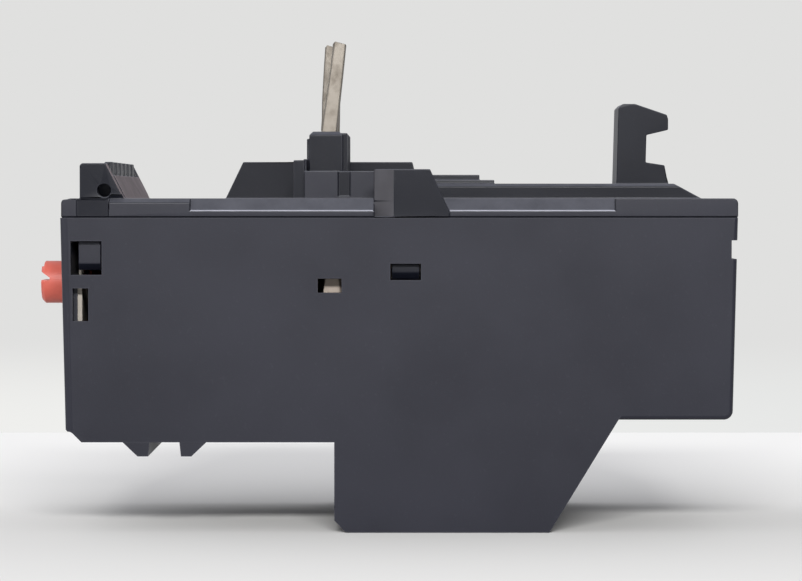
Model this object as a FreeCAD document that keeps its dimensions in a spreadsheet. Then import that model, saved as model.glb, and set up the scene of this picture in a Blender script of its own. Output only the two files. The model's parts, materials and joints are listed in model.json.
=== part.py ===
"""Three-pole thermal overload relay for plugging under a contactor.

The relay stands on the flat bottom of its load-terminal chin. The origin is the middle of that
face. +Z points up to the contactor, -Y to the operator and +X to the operator's right.
Lengths are in millimetres. Each sub-part is written to parts/<label>.step.
"""
import FreeCAD, Part
import os
import re
import Sketcher

Vector = FreeCAD.Vector

# ---------------------------------------------------------------- driving dimensions
SIZES = [
    # housing: a tub that is open at the top, with draft on its walls
    ("half_width", 22.5, "half the width across the poles"),
    ("front_y", 50.5, "front face, in front of the origin"),
    ("rear_y", 39.5, "rear face, behind the origin"),
    ("part_z", 42.1, "height of the joint between housing and top cover"),
    ("front_floor_z", 12.1, "underside of the front section"),
    ("rear_floor_z", 15.1, "underside of the rear section"),
    ("chin_half", 14.4, "half the depth of the load-terminal chin"),
    ("chin_slope_y", 23.6, "where the chin's slope meets the rear underside"),
    ("chin_chamfer", 1.6, "chamfer at the chin's front foot"),
    ("front_chamfer", 1.7, "chamfer at the front section's lower edge"),
    ("wall_draft", 0.6, "lean of the front and rear walls over their height"),
    ("side_draft", 0.6, "lean of each side wall over its height"),
    ("side_wall", 1.8, "side wall thickness"),
    ("front_wall", 1.7, "front wall thickness at the top"),
    ("rear_wall", 1.8, "rear wall thickness"),
    ("floor_wall", 1.8, "floor thickness"),
    ("slope_wall", 2.1, "thickness of the sloped wall, along Y"),
    ("rear_corner", 1.2, "radius of the rear lower corner"),
    ("corner_round", 0.6, "radius of the upright corners"),
    ("rail_y", 42.7, "front root of the marker rail"),
    ("rail_toe", 2.0, "slope run of a rail lip"),
    ("rail_flat", 1.4, "flat of a rail lip"),
    ("rail_gap", 4.0, "gap between the rail lips at their root"),
    ("rail_drop", 1.9, "depth of the rail lips"),
    ("latch_groove_z", 36.6, "lower edge of the rear latch groove"),
    ("latch_groove_tall", 2.5, "height of the rear latch groove"),
    ("latch_groove_deep", 0.75, "depth of the rear latch groove"),
    ("barrier", 1.4, "thickness of the pole barriers"),
    ("barrier_front_y", 11.0, "front edge of the pole barriers"),
    ("barrier_rear_y", 37.9, "rear edge of the pole barriers, inside the rear wall"),
    ("barrier_top_z", 39.1, "top of the pole barriers"),
    ("pole_pitch", 14.0, "load terminal and bimetal pitch"),
    ("play", 0.3, "clearance of moving pieces"),
    ("fit", 0.1, "clearance of seated pieces"),
    # side windows
    ("snap_window_y", 6.9, "front edge of the middle snap window"),
    ("snap_window_deep", 4.1, "length of the middle snap window"),
    ("snap_window_z", 33.8, "lower edge of the middle snap window"),
    ("snap_window_tall", 2.2, "height of the middle snap window"),
    ("slide_window_y", 16.6, "front edge of the slide test window"),
    ("slide_window_deep", 3.2, "length of the slide test window"),
    ("slide_window_z", 32.1, "lower edge of the slide test window"),
    ("slide_window_tall", 1.9, "height of the slide test window"),
    ("front_window_y", 48.8, "front edge of the front snap window"),
    ("front_window_deep", 3.4, "length of the front snap window"),
    ("front_window_z", 34.5, "lower edge of the front snap window"),
    ("front_window_tall", 4.5, "height of the front snap window"),
    ("plate_window_y", 49.3, "front edge of the scale plate's window"),
    ("plate_window_deep", 2.1, "length of the scale plate's window"),
    ("plate_window_z", 28.3, "lower edge of the scale plate's window"),
    ("plate_window_tall", 4.4, "height of the scale plate's window"),
    # load terminals
    ("load_z", 6.6, "height of the load terminal screws"),
    ("load_access", 3.7, "radius of the screwdriver holes in the chin"),
    ("load_shank", 2.0, "radius of a load screw"),
    ("load_head", 3.4, "radius of a load screw's head"),
    ("load_head_thick", 2.3, "thickness of a load screw's head"),
    ("load_reach", 11.8, "length of a load screw's shank"),
    ("load_head_y", 11.6, "front of the load screw heads"),
    ("load_clamp_thick", 1.2, "thickness of a load wire clamp"),
    ("load_clamp_half", 4.2, "half width of a load wire clamp"),
    ("load_clamp_rise", 3.7, "half height of a load wire clamp"),
    ("load_wire_gap", 6.9, "room for a wire behind the clamp"),
    ("load_entry_half", 4.4, "half width of a load wire entry"),
    ("strip_thick", 1.2, "thickness of a load strip"),
    ("strip_top_z", 27.0, "top of a load strip's upright"),
    ("strip_flange", 8.2, "length of a load strip's flange"),
    # auxiliary terminals
    ("aux_pitch", 10.8, "auxiliary terminal pitch"),
    ("aux_z", 17.9, "height of the auxiliary screws"),
    ("aux_access", 3.1, "radius of the auxiliary screwdriver holes"),
    ("aux_shank", 1.5, "radius of an auxiliary screw"),
    ("aux_head", 2.8, "radius of an auxiliary screw's head"),
    ("aux_head_thick", 1.8, "thickness of an auxiliary screw's head"),
    ("aux_reach", 7.5, "length of an auxiliary screw's shank"),
    ("aux_head_y", 49.5, "front of the auxiliary screw heads"),
    ("aux_clamp_thick", 0.8, "thickness of an auxiliary wire clamp"),
    ("aux_clamp_half", 3.2, "half width of an auxiliary wire clamp"),
    ("aux_wire_gap", 4.5, "room for a wire behind the clamp"),
    ("aux_entry_half", 3.0, "half width of an auxiliary wire entry"),
    ("aux_strip", 0.8, "thickness of an auxiliary contact strip"),
    ("aux_strip_half", 3.6, "half width of an auxiliary strip's plate"),
    ("aux_post_half", 1.5, "half width of an auxiliary strip's contact post"),
    ("aux_post_top_z", 30.5, "top of the contact posts"),
    ("shelf_z", 22.2, "underside of the shelf over the auxiliary terminals"),
    ("shelf_thick", 1.2, "thickness of that shelf"),
    ("shelf_rear_y", 37.0, "rear edge of that shelf"),
    ("ledge", 1.6, "width of the side ledges that carry the mechanism frame"),
    # top cover
    ("cover_thick", 2.6, "thickness of the top cover"),
    ("cover_step", 0.3, "set-back of the cover's front edge"),
    ("cover_round", 0.7, "radius of the cover's end edges"),
    ("bevel", 1.8, "bevel along the cover's sides"),
    ("bevel_front_y", 33.6, "front end of the side bevel"),
    ("bevel_rear_y", 23.1, "rear end of the side bevel"),
    ("skirt", 1.2, "thickness of the cover's locating skirt"),
    ("skirt_deep", 1.9, "depth of the locating skirt"),
    ("snap_thick", 1.1, "thickness of a snap arm"),
    ("snap_lug", 1.0, "outward reach of a snap lug"),
    ("deck_half", 14.5, "half width of the raised deck"),
    ("deck_front_y", 18.6, "front end of the raised deck"),
    ("deck_rear_y", 31.6, "rear end of the raised deck's top"),
    ("deck_slope", 3.7, "run of the slope at the deck's rear end"),
    ("deck_rise", 2.0, "height of the deck over the cover"),
    ("step_low_rise", 2.5, "height of the lower step over the cover"),
    ("step_low_y", 7.2, "rear end of the lower step"),
    ("step_high_rise", 3.2, "height of the upper step over the cover"),
    ("step_high_y", 5.2, "rear end of the upper step"),
    ("block_rise", 3.7, "height of the pin block over the cover"),
    ("block_rear_y", 8.6, "rear end of the pin block"),
    ("block_groove_y", 14.0, "front edge of the groove across the pin block"),
    ("block_groove", 1.6, "width of that groove"),
    ("tower_rise", 9.2, "height of a pin tower over the cover"),
    ("tower_front_y", 18.1, "front face of the pin towers"),
    ("tower_deep", 4.6, "depth of a pin tower"),
    ("tower_half", 2.7, "half width of a pin tower"),
    ("screen_rise", 5.2, "height of the screen in front of the towers"),
    ("screen_thick", 1.5, "thickness of that screen"),
    ("fence_thick", 1.8, "thickness of the side fence"),
    ("fence_rise", 5.3, "height of the side fence over the cover"),
    ("fence_front_y", 31.3, "front root of the side fence"),
    ("fence_rear_y", 2.4, "rear root of the side fence"),
    ("fence_slope", 2.8, "run of the slope at the fence's front end"),
    ("fence_slope_rear", 1.4, "run of the slope at the fence's rear end"),
    ("lug_front_y", 9.1, "front of the side lug"),
    ("lug_long", 10.1, "length of the side lug at its root"),
    ("lug_top_long", 7.5, "length of the side lug at its top"),
    ("lug_rise", 3.9, "height of the side lug over the cover"),
    ("lug_thick", 2.6, "thickness of the side lug"),
    ("lug_facet", 2.7, "length of the side lug's slanted facet"),
    ("ridge_front_y", 48.3, "front of the ridge"),
    ("ridge_top", 3.5, "length of the ridge's top"),
    ("ridge_root", 5.9, "length of the ridge's root"),
    ("ridge_rise", 4.7, "height of the ridge over the cover"),
    ("ear_thick", 2.0, "thickness of the sealing ear"),
    ("ear_gap", 2.4, "gap behind the sealing ear"),
    ("seal_hole", 0.75, "radius of the sealing hole"),
    ("seal_y", 45.2, "distance of the sealing hole from the origin"),
    ("seal_rise", 1.15, "height of the sealing hole over the cover"),
    ("grip_pitch", 1.5, "pitch of the grip grooves on the ridge"),
    ("hook_half", 4.5, "half width of the hook"),
    ("hook_y", 24.5, "front of the hook's post"),
    ("hook_post", 4.1, "thickness of the hook's post"),
    ("hook_nose", 7.1, "reach of the hook's nose"),
    ("hook_rise", 13.1, "height of the hook over the cover"),
    ("hook_gap_rise", 5.0, "height of the hook's lower lip over the cover"),
    ("hook_gap", 3.9, "height of the hook's gap"),
    # line pins
    ("pin_pitch", 11.0, "pitch of the line pins"),
    ("pin_offset", 5.5, "distance of the middle pin from the middle plane"),
    ("pin_thick", 1.8, "thickness of a line pin"),
    ("pin_half", 1.8, "half width of a line pin"),
    ("pin_y", 15.2, "middle of a line pin in its tower"),
    ("pin_tip_z", 66.3, "top of the line pins"),
    ("pin_lean", 1.2, "forward bend of the first pin's tip"),
    ("link_z", 39.6, "underside of a pin's run to its heater"),
    ("link_thick", 1.2, "thickness of that run"),
    ("link_half", 1.7, "half width of that run"),
    # bimetals, heaters
    ("bimetal_thick", 0.9, "thickness of a bimetal"),
    ("bimetal_z", 30.0, "lower edge of a bimetal"),
    ("bimetal_tall", 6.0, "height of a bimetal"),
    ("bimetal_rear_y", 35.0, "rear end of a bimetal"),
    ("bimetal_tip_y", 13.9, "front tip of a bimetal"),
    ("tip_z", 30.2, "lower edge of a bimetal's narrow tip"),
    ("tip_tall", 3.4, "height of a bimetal's narrow tip"),
    ("tip_long", 3.5, "length of a bimetal's narrow tip"),
    ("tab_thick", 1.2, "thickness of the tab that joins pin and bimetal"),
    ("tab_long", 3.0, "length of that tab"),
    ("heater_half", 1.7, "half width of a heater winding"),
    ("heater_wire", 0.7, "thickness of a heater winding"),
    ("heater_turn", 1.5, "width of one heater turn"),
    ("heater_front_y", 6.0, "front of the first heater turn"),
    ("heater_long", 28.0, "length from first to last heater turn"),
    ("heater_turns", 10, "number of heater turns"),
    ("support_y", 33.4, "front of the bimetal support"),
    ("support_thick", 2.2, "thickness of the bimetal support"),
    ("support_z", 27.5, "lower edge of the bimetal support"),
    ("support_tall", 11.5, "height of the bimetal support"),
    # slides
    ("slide_y", 15.5, "front face of the slides"),
    ("slide_spine", 1.3, "thickness of a slide's spine"),
    ("slide_teeth", 1.5, "length of a slide's teeth"),
    ("slide_z", 31.9, "lower face of the upper slide"),
    ("slide_tall", 2.0, "height of a slide"),
    ("slide_right", 19.9, "right end of the slides"),
    ("slide_left", 18.2, "left end of the slides"),
    ("slide_slot", 2.7, "width of the slot for a bimetal tip"),
    ("slide_travel", 1.2, "travel of the slides"),
    ("slide_space", 0.2, "gap between the slides"),
    ("differential_travel", 0.9, "travel of the lower slide against the upper one"),
    ("lever_thick", 0.9, "thickness of the differential lever"),
    # mechanism frame
    ("frame_half", 20.3, "half width of the mechanism frame"),
    ("frame_plate", 1.2, "thickness of the mechanism frame's plates"),
    ("frame_front_y", 38.0, "front of the mechanism frame"),
    ("frame_rear_y", 17.3, "rear edge of the mechanism frame"),
    ("frame_top_z", 39.9, "top of the mechanism frame"),
    ("pivot_pin", 0.8, "radius of the pivot pins"),
    # dial
    ("dial_x", 12.5, "distance of the dial's axis from the middle plane"),
    ("dial_z", 32.8, "height of the dial and reset axes"),
    ("dial_face", 5.6, "radius of the dial"),
    ("dial_front_y", 49.0, "front face of the dial"),
    ("dial_thick", 2.4, "thickness of the dial"),
    ("dial_shaft", 2.0, "radius of the dial's shaft"),
    ("dial_reach", 12.9, "length from the dial's front to its shaft's end"),
    ("cam_small", 2.8, "smallest radius of the setting cam"),
    ("cam_rise", 1.5, "rise of the setting cam over its turn"),
    ("cam_front_y", 44.2, "front of the setting cam"),
    ("cam_thick", 2.0, "thickness of the setting cam"),
    # reset
    ("reset_x", 1.5, "distance of the reset axis from the middle plane"),
    ("reset_cap", 2.6, "radius of the reset button"),
    ("reset_cap_long", 2.7, "length of the reset button"),
    ("reset_shaft", 1.6, "radius of the button plungers"),
    ("reset_end_y", 31.5, "rear end of the reset plunger"),
    ("reset_flange", 2.4, "radius of the reset plunger's flange"),
    ("flange_thick", 1.0, "thickness of the plunger flanges"),
    ("spigot", 0.9, "radius of the reset button's spigot"),
    ("spigot_long", 3.0, "length of that spigot"),
    # stop button
    ("stop_x", 8.0, "distance of the stop button from the middle plane"),
    ("stop_z", 33.2, "height of the stop button"),
    ("stop_head", 2.9, "radius of the stop button"),
    ("stop_front_y", 55.0, "front face of the stop button"),
    ("stop_flange", 3.7, "radius of the stop button's flange"),
    ("stop_end_y", 31.0, "rear end of the stop plunger"),
    ("button_travel", 2.5, "travel of the buttons"),
    ("spring_wire", 0.25, "radius of the spring wire"),
    ("spring_radius", 2.1, "mean radius of the button springs"),
    # scale plate, window
    ("plate_thick", 0.6, "thickness of the scale plate"),
    ("plate_top_z", 41.4, "upper edge of the scale plate"),
    ("pane_thick", 0.9, "thickness of the hinged window"),
    ("pane_front_y", 50.1, "front face of the hinged window"),
    ("pane_left", 20.2, "left edge of the hinged window"),
    ("pane_right", 2.4, "right edge of the hinged window"),
    ("pane_bottom_z", 24.5, "lower edge of the hinged window"),
    ("pane_axis_z", 40.3, "height of the window's hinge"),
    ("hinge_pin", 0.4, "radius of the window's hinge pins"),
    ("hinge_pin_long", 0.8, "length of the window's hinge pins"),
    ("pane_gap", 0.3, "gap round the hinged window"),
    # contact carriage
    ("carriage_half", 17.6, "half length of the contact carriage"),
    ("carriage_y", 25.6, "front face of the contact carriage"),
    ("carriage_deep", 2.4, "depth of the contact carriage"),
    ("carriage_tall", 5.1, "height of the contact carriage"),
    ("carriage_travel", 1.8, "travel of the contact carriage"),
    ("bridge_thick", 0.6, "thickness of a contact bridge"),
    ("bridge_half", 6.9, "half length of a contact bridge"),
    ("bridge_z", 27.2, "lower edge of the contact bridges"),
    ("bridge_tall", 2.8, "height of a contact bridge"),
    ("contact_gap", 0.15, "gap at a closed contact"),
    ("nc_post_y", 28.8, "front of the closed contact's posts"),
    ("no_post_y", 27.3, "front of the open contact's posts"),
    ("stem_half", 1.0, "half width of the stems that hold the bridges"),
    ("flag_x", 15.5, "distance of the trip flag from the middle plane"),
    ("flag_half", 0.9, "half width of the trip flag"),
    ("flag_z", 36.0, "lower edge of the trip flag"),
    ("flag_tall", 1.8, "height of the trip flag"),
    ("flag_front_y", 48.4, "front end of the trip flag"),
    # trip lever
    ("lever_x", 9.0, "distance of the trip lever's pivot from the middle plane"),
    ("lever_y", 19.6, "pivot of the trip lever"),
    ("lever_hub", 1.8, "radius of the trip lever's hub"),
    ("lever_z", 27.0, "lower face of the trip lever"),
    ("lever_tall", 7.2, "height of the trip lever's hub"),
    ("lever_arm", 5.0, "reach of the arm that moves the carriage"),
    ("compensator", 0.8, "thickness of the compensating bimetal"),
    ("compensator_long", 3.6, "reach of the compensating bimetal"),
    # setting arm
    ("arm_x", 9.0, "distance of the setting arm's pivot from the middle plane"),
    ("arm_y", 33.0, "pivot of the setting arm"),
    ("arm_hub", 1.7, "radius of the setting arm's hub"),
    ("arm_z", 36.4, "lower face of the setting arm"),
    ("arm_thick", 1.5, "thickness of the setting arm"),
    ("arm_half", 0.8, "half width of the setting arm"),
    ("arm_rear", 11.0, "reach of the setting arm behind its pivot"),
]
ALIASES = {name for name, _, _ in SIZES}

# ---------------------------------------------------------------- derived places
INNER_X = "(half_width - side_wall)"
INNER_FRONT = "(front_wall - front_y)"
INNER_REAR = "(rear_y - rear_wall)"
FRONT_FLOOR = "(front_floor_z + floor_wall)"
REAR_FLOOR = "(rear_floor_z + floor_wall)"
COVER_TOP = "(part_z + cover_thick)"
FRAME_FLOOR = "(shelf_z + shelf_thick)"
FRAME_TOP = f"({FRAME_FLOOR} + frame_plate)"
FRAME_BACK = "(frame_plate - frame_front_y)"
LOAD_CLAMP_Y = "(load_head_thick - load_head_y)"
LOAD_STRIP_Y = f"({LOAD_CLAMP_Y} + load_clamp_thick + load_wire_gap)"
AUX_CLAMP_Y = "(aux_head_thick - aux_head_y)"
AUX_STRIP_Y = f"({AUX_CLAMP_Y} + aux_clamp_thick + aux_wire_gap)"
AUX_RUN_Z = "(shelf_z - 0.5 - aux_strip)"
PLATE_FRONT = INNER_FRONT
PLATE_BACK = f"({PLATE_FRONT} + plate_thick)"
PANE_AXIS_Y = "(pane_thick / 2 - pane_front_y)"
POLES = (-1, 0, 1)
AUX_STEPS = (-1.5, -0.5, 0.5, 1.5)

doc = FreeCAD.newDocument("OverloadRelay")
sheet = doc.addObject("Spreadsheet::Sheet", "Sizes")
made = []


def fill_sheet():
    """Writes each driving dimension as name, plain number and meaning, with its alias."""
    for row, (name, value, meaning) in enumerate(SIZES, start=1):
        sheet.set(f"A{row}", name)
        sheet.set(f"B{row}", str(value))
        sheet.set(f"C{row}", meaning)
        sheet.setAlias(f"B{row}", name)
    doc.recompute()


def formula(text):
    """An expression on the sheet, from text that names its sizes plainly."""
    return re.sub(r"[a-z]\w*", lambda m: "Sizes." + m[0] if m[0] in ALIASES else m[0], str(text))


def number(text):
    """The present value of such a text."""
    return float(sheet.evalExpression(formula(text)))


# ---------------------------------------------------------------- modelling helpers
PLANES = {"side": "YZ_Plane", "front": "XZ_Plane", "top": "XY_Plane"}


def new_body(label):
    """An empty body for the sub-part of that name."""
    body = doc.addObject("PartDesign::Body", label)
    body.Label = label
    made.append(body)
    return body


def rect(u0, u1, v0, v1):
    """A rectangle between two places on each sketch axis."""
    return [(u0, v0), (u1, v0), (u1, v1), (u0, v1)]


def draw_polygon(sketch, points):
    """A closed outline whose corners are each held by two dimensions."""
    places = [Vector(number(u), number(v), 0) for u, v in points]
    first = sketch.GeometryCount
    count = len(points)
    for i in range(count):
        sketch.addGeometry(Part.LineSegment(places[i], places[(i + 1) % count]), False)
    for i in range(count):
        sketch.addConstraint(
            Sketcher.Constraint("Coincident", first + i, 2, first + (i + 1) % count, 1))
    for i, (u, v) in enumerate(points):
        for kind, text, value in (("DistanceX", u, places[i].x), ("DistanceY", v, places[i].y)):
            index = sketch.addConstraint(Sketcher.Constraint(kind, -1, 1, first + i, 1, value))
            sketch.setExpression(f"Constraints[{index}]", formula(text))


def draw_circle(sketch, u, v, radius):
    """A circle held by its centre and radius."""
    place = Vector(number(u), number(v), 0)
    circle = sketch.addGeometry(Part.Circle(place, Vector(0, 0, 1), number(radius)), False)
    for kind, text, value in (("DistanceX", u, place.x), ("DistanceY", v, place.y)):
        index = sketch.addConstraint(Sketcher.Constraint(kind, -1, 1, circle, 3, value))
        sketch.setExpression(f"Constraints[{index}]", formula(text))
    index = sketch.addConstraint(Sketcher.Constraint("Radius", circle, number(radius)))
    sketch.setExpression(f"Constraints[{index}]", formula(radius))


def new_sketch(body, plane, level, shapes):
    """A sketch on one of the body's planes: lists are polygons, triples are circles."""
    sketch = body.newObject("Sketcher::SketchObject", "Sketch")
    origin = next(f for f in body.Origin.OriginFeatures if f.Role == PLANES[plane])
    sketch.AttachmentSupport = (origin, [""])
    sketch.MapMode = "FlatFace"
    sketch.setExpression("AttachmentOffset.Base.z", formula(level))
    for shape in shapes:
        if isinstance(shape, list):
            draw_polygon(sketch, shape)
        else:
            draw_circle(sketch, *shape)
    return sketch


def extrude(kind, body, plane, shapes, low, high):
    """A pad or pocket between two levels on the axis across the plane."""
    level = f"-({high})" if plane == "front" else low
    feature = body.newObject(kind, kind.split("::")[1])
    feature.Profile = new_sketch(body, plane, level, shapes)
    feature.setExpression("Length", formula(f"({high}) - ({low})"))
    return feature


def add(body, plane, shapes, low, high):
    """Adds material between two levels."""
    return extrude("PartDesign::Pad", body, plane, shapes, low, high)


def cut(body, plane, shapes, low, high):
    """Takes material away between two levels."""
    feature = extrude("PartDesign::Pocket", body, plane, shapes, low, high)
    feature.Reversed = True
    return feature


def edges_at(body, wanted):
    """Names of the edges whose middle point and direction the test accepts."""
    doc.recompute()
    names = []
    for index, edge in enumerate(body.Shape.Edges, start=1):
        if not hasattr(edge.Curve, "Direction"):
            continue
        middle = edge.valueAt((edge.FirstParameter + edge.LastParameter) / 2)
        if wanted(middle, edge.Curve.Direction):
            names.append(f"Edge{index}")
    return names


def round_edges(body, radius, wanted):
    """Fillets the edges that the test accepts."""
    names = edges_at(body, wanted)
    base = body.Tip
    fillet = body.newObject("PartDesign::Fillet", "Fillet")
    fillet.Base = (base, names)
    fillet.setExpression("Radius", formula(radius))
    body.Tip = fillet
    return fillet


def bevel_edges(body, size, wanted):
    """Chamfers the edges that the test accepts."""
    names = edges_at(body, wanted)
    base = body.Tip
    chamfer = body.newObject("PartDesign::Chamfer", "Chamfer")
    chamfer.Base = (base, names)
    chamfer.Size = size
    body.Tip = chamfer
    return chamfer


def mirrored(side, text):
    """The text's value on the right side, or its opposite on the left."""
    return f"{side} * ({text})"


def between(side, low, high):
    """A span across X on the right side, or its mirror image on the left."""
    span = (f"({low})", f"({high})")
    return span if side > 0 else (f"-({high})", f"-({low})")


# ---------------------------------------------------------------- housing
def slope_at(height, inset="0"):
    """Place along Y of the chin's rear slope, moved forward by an inset, at some height."""
    return f"chin_half - {inset} + (chin_slope_y - chin_half) * ({height}) / rear_floor_z"


def housing_shell(body):
    """Outer form with its draft, upright corners and floor openings, then the cavity."""
    low_y = "wall_draft - front_y"
    add(body, "side", [[
        ("-front_y", "part_z"), (low_y, "front_floor_z + front_chamfer"),
        (f"{low_y} + front_chamfer", "front_floor_z"), ("-chin_half", "front_floor_z"),
        ("-chin_half", "chin_chamfer"), ("chin_chamfer - chin_half", "0"), ("chin_half", "0"),
        ("chin_slope_y", "rear_floor_z"), ("rear_y - wall_draft", "rear_floor_z"),
        ("rear_y", "part_z")]], "-half_width", "half_width")
    for side in (-1, 1):
        wedge = [("half_width - side_draft", "0"), ("half_width + 2", "0"),
                 ("half_width + 2", "part_z"), ("half_width", "part_z")]
        wedge = [(mirrored(side, x), z) for x, z in wedge]
        cut(body, "front", [wedge], "-front_y - 2", "rear_y + 2")
    rear_low = number("rear_floor_z")
    rear_end = number("rear_y") - 1
    round_edges(body, "rear_corner",
                lambda m, d: abs(d.x) > 0.99 and m.y > rear_end and m.z < rear_low + 0.1)
    corner_y = number("chin_slope_y") + 3
    round_edges(body, "corner_round",
                lambda m, d: abs(d.z) > 0.9 and abs(m.x) > 20 and abs(m.y) > corner_y)
    cut(body, "side", [[
        (INNER_FRONT, "part_z + 1"), (INNER_FRONT, FRONT_FLOOR),
        ("floor_wall - chin_half", FRONT_FLOOR), ("floor_wall - chin_half", "floor_wall"),
        (slope_at("floor_wall", "slope_wall"), "floor_wall"),
        (slope_at(REAR_FLOOR, "slope_wall"), REAR_FLOOR),
        (INNER_REAR, REAR_FLOOR), (INNER_REAR, "part_z + 1")]], f"-{INNER_X}", INNER_X)


def housing_rails(body):
    """Wire entries in the floors and the two full-width rail lips under the front section."""
    for pole in POLES:
        middle = f"{pole} * pole_pitch"
        cut(body, "top", [rect(f"{middle} - load_entry_half", f"{middle} + load_entry_half",
                               f"{LOAD_CLAMP_Y} + load_clamp_thick + fit",
                               f"{LOAD_STRIP_Y} - fit")], "-1", "floor_wall + 1")
    for step in AUX_STEPS:
        middle = f"{step} * aux_pitch"
        cut(body, "top", [rect(f"{middle} - aux_entry_half", f"{middle} + aux_entry_half",
                               f"{AUX_CLAMP_Y} + aux_clamp_thick - fit / 2",
                               f"{AUX_STRIP_Y} - 0.35")], "front_floor_z - 1", f"{FRONT_FLOOR} + 1")
    low = "front_floor_z - rail_drop"
    root = "front_floor_z + 0.5"
    end = "rail_toe + rail_flat + 0.2 - rail_y"
    second = f"{end} + rail_gap"
    half = "half_width - side_draft / 2 - 0.2"
    add(body, "side", [[("-rail_y", root), ("-rail_y", "front_floor_z"), ("rail_toe - rail_y", low),
                        (f"{end} - 0.2", low), (end, "front_floor_z"), (end, root)]],
        f"-({half})", half)
    add(body, "side", [[(second, root), (second, "front_floor_z"), (f"{second} + 0.2", low),
                        (f"{second} + 0.2 + rail_flat", low),
                        (f"{second} + 0.2 + rail_flat + rail_toe", "front_floor_z"),
                        (f"{second} + 0.2 + rail_flat + rail_toe", root)]], f"-({half})", half)


def housing_barriers(body):
    """Pole barriers with the notch for the bimetal support and the feet under the slides."""
    for side in (-1, 1):
        low, high = between(side, "pole_pitch / 2 - barrier / 2", "pole_pitch / 2 + barrier / 2")
        add(body, "side", [[
            ("1 - chin_half", "1"), ("1 - chin_half", "front_floor_z - 0.6"),
            ("-barrier_front_y", f"{FRONT_FLOOR} - 1"), ("-barrier_front_y", "barrier_top_z"),
            ("barrier_rear_y", "barrier_top_z"), ("barrier_rear_y", "rear_floor_z + 0.9"),
            ("chin_slope_y - 0.6", "rear_floor_z + 0.9"), (slope_at("1", "slope_wall / 2"), "1")]],
            low, high)
        add(body, "side", [rect("-slide_y - 1", "0.5 - barrier_front_y",
                                "slide_z - slide_space * 2 - slide_tall - 3",
                                "slide_z - slide_space * 2 - slide_tall")], low, high)
    cut(body, "side", [rect("support_y", "support_y + support_thick", "support_z", "part_z")],
        "-pole_pitch", "pole_pitch")


def housing_shelf(body):
    """Shelf and partitions over the auxiliary terminals, and the ledges of the frame."""
    add(body, "side", [rect(f"{INNER_FRONT} - 0.5", "-shelf_rear_y", "shelf_z", FRAME_FLOOR)],
        f"-{INNER_X} - 0.5", f"{INNER_X} + 0.5")
    for step in (-1, 0, 1):
        middle = f"{step} * aux_pitch"
        add(body, "top", [rect(f"{middle} - shelf_thick / 2", f"{middle} + shelf_thick / 2",
                               f"{INNER_FRONT} - 0.5", "-shelf_rear_y")],
            f"{FRONT_FLOOR} - 0.5", "shelf_z + 0.5")
    for side in (-1, 1):
        low, high = between(side, f"{INNER_X} - ledge", f"{INNER_X} + 0.5")
        add(body, "side", [[("0.5 - shelf_rear_y", "shelf_z - 1"), ("0.5 - shelf_rear_y", FRAME_FLOOR),
                            ("-frame_rear_y - 0.5", FRAME_FLOOR), ("-frame_rear_y - 0.5", "shelf_z - 1")]],
            low, high)


def window(body, sides, name):
    """A rectangular side window whose sizes carry that name."""
    for side in sides:
        low, high = between(side, INNER_X, "half_width + 1")
        cut(body, "side", [rect(f"-{name}_y", f"{name}_deep - {name}_y", f"{name}_z",
                                f"{name}_z + {name}_tall")], low, high)


def housing_openings(body):
    """Side windows, latch groove and the openings in the front wall and the chin."""
    window(body, (-1, 1), "snap_window")
    window(body, (1,), "slide_window")
    window(body, (-1, 1), "front_window")
    window(body, (1,), "plate_window")
    cut(body, "side", [rect("rear_y - latch_groove_deep - wall_draft / 5", "rear_y + 1",
                            "latch_groove_z", "latch_groove_z + latch_groove_tall")],
        "-half_width - 1", "half_width + 1")
    for side in (-1, 1):
        low, high = between(side, "10", "14")
        cut(body, "top", [rect(low, high, INNER_REAR, "rear_y + 1")], "latch_groove_z",
            "latch_groove_z + latch_groove_tall")
    outer = "-front_y - 1"
    for step in AUX_STEPS:
        cut(body, "front", [(f"{step} * aux_pitch", "aux_z", "aux_access")], outer, INNER_FRONT)
    for pole in POLES:
        cut(body, "front", [(f"{pole} * pole_pitch", "load_z", "load_access")],
            "-chin_half - 1", "floor_wall - chin_half")
    cut(body, "front", [("stop_x", "stop_z", "stop_head + play")], outer, INNER_FRONT)
    cut(body, "front", [rect("flag_x - flag_half - play", "flag_x + flag_half + play",
                             "flag_z - play", "flag_z + flag_tall + play")], outer, INNER_FRONT)
    cut(body, "front", [rect("-pane_left - pane_gap", "pane_right + pane_gap",
                             "pane_bottom_z - pane_gap",
                             "pane_axis_z + pane_thick / 2 + pane_gap")], outer, INNER_FRONT)
    cut(body, "side", [(PANE_AXIS_Y, "pane_axis_z", "hinge_pin + fit")],
        "-pane_left - hinge_pin_long - fit", "pane_right + hinge_pin_long + fit")


def make_housing():
    """Tub with floors, barriers, shelf, windows and openings."""
    body = new_body("housing")
    housing_shell(body)
    housing_rails(body)
    housing_barriers(body)
    housing_shelf(body)
    housing_openings(body)


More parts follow.
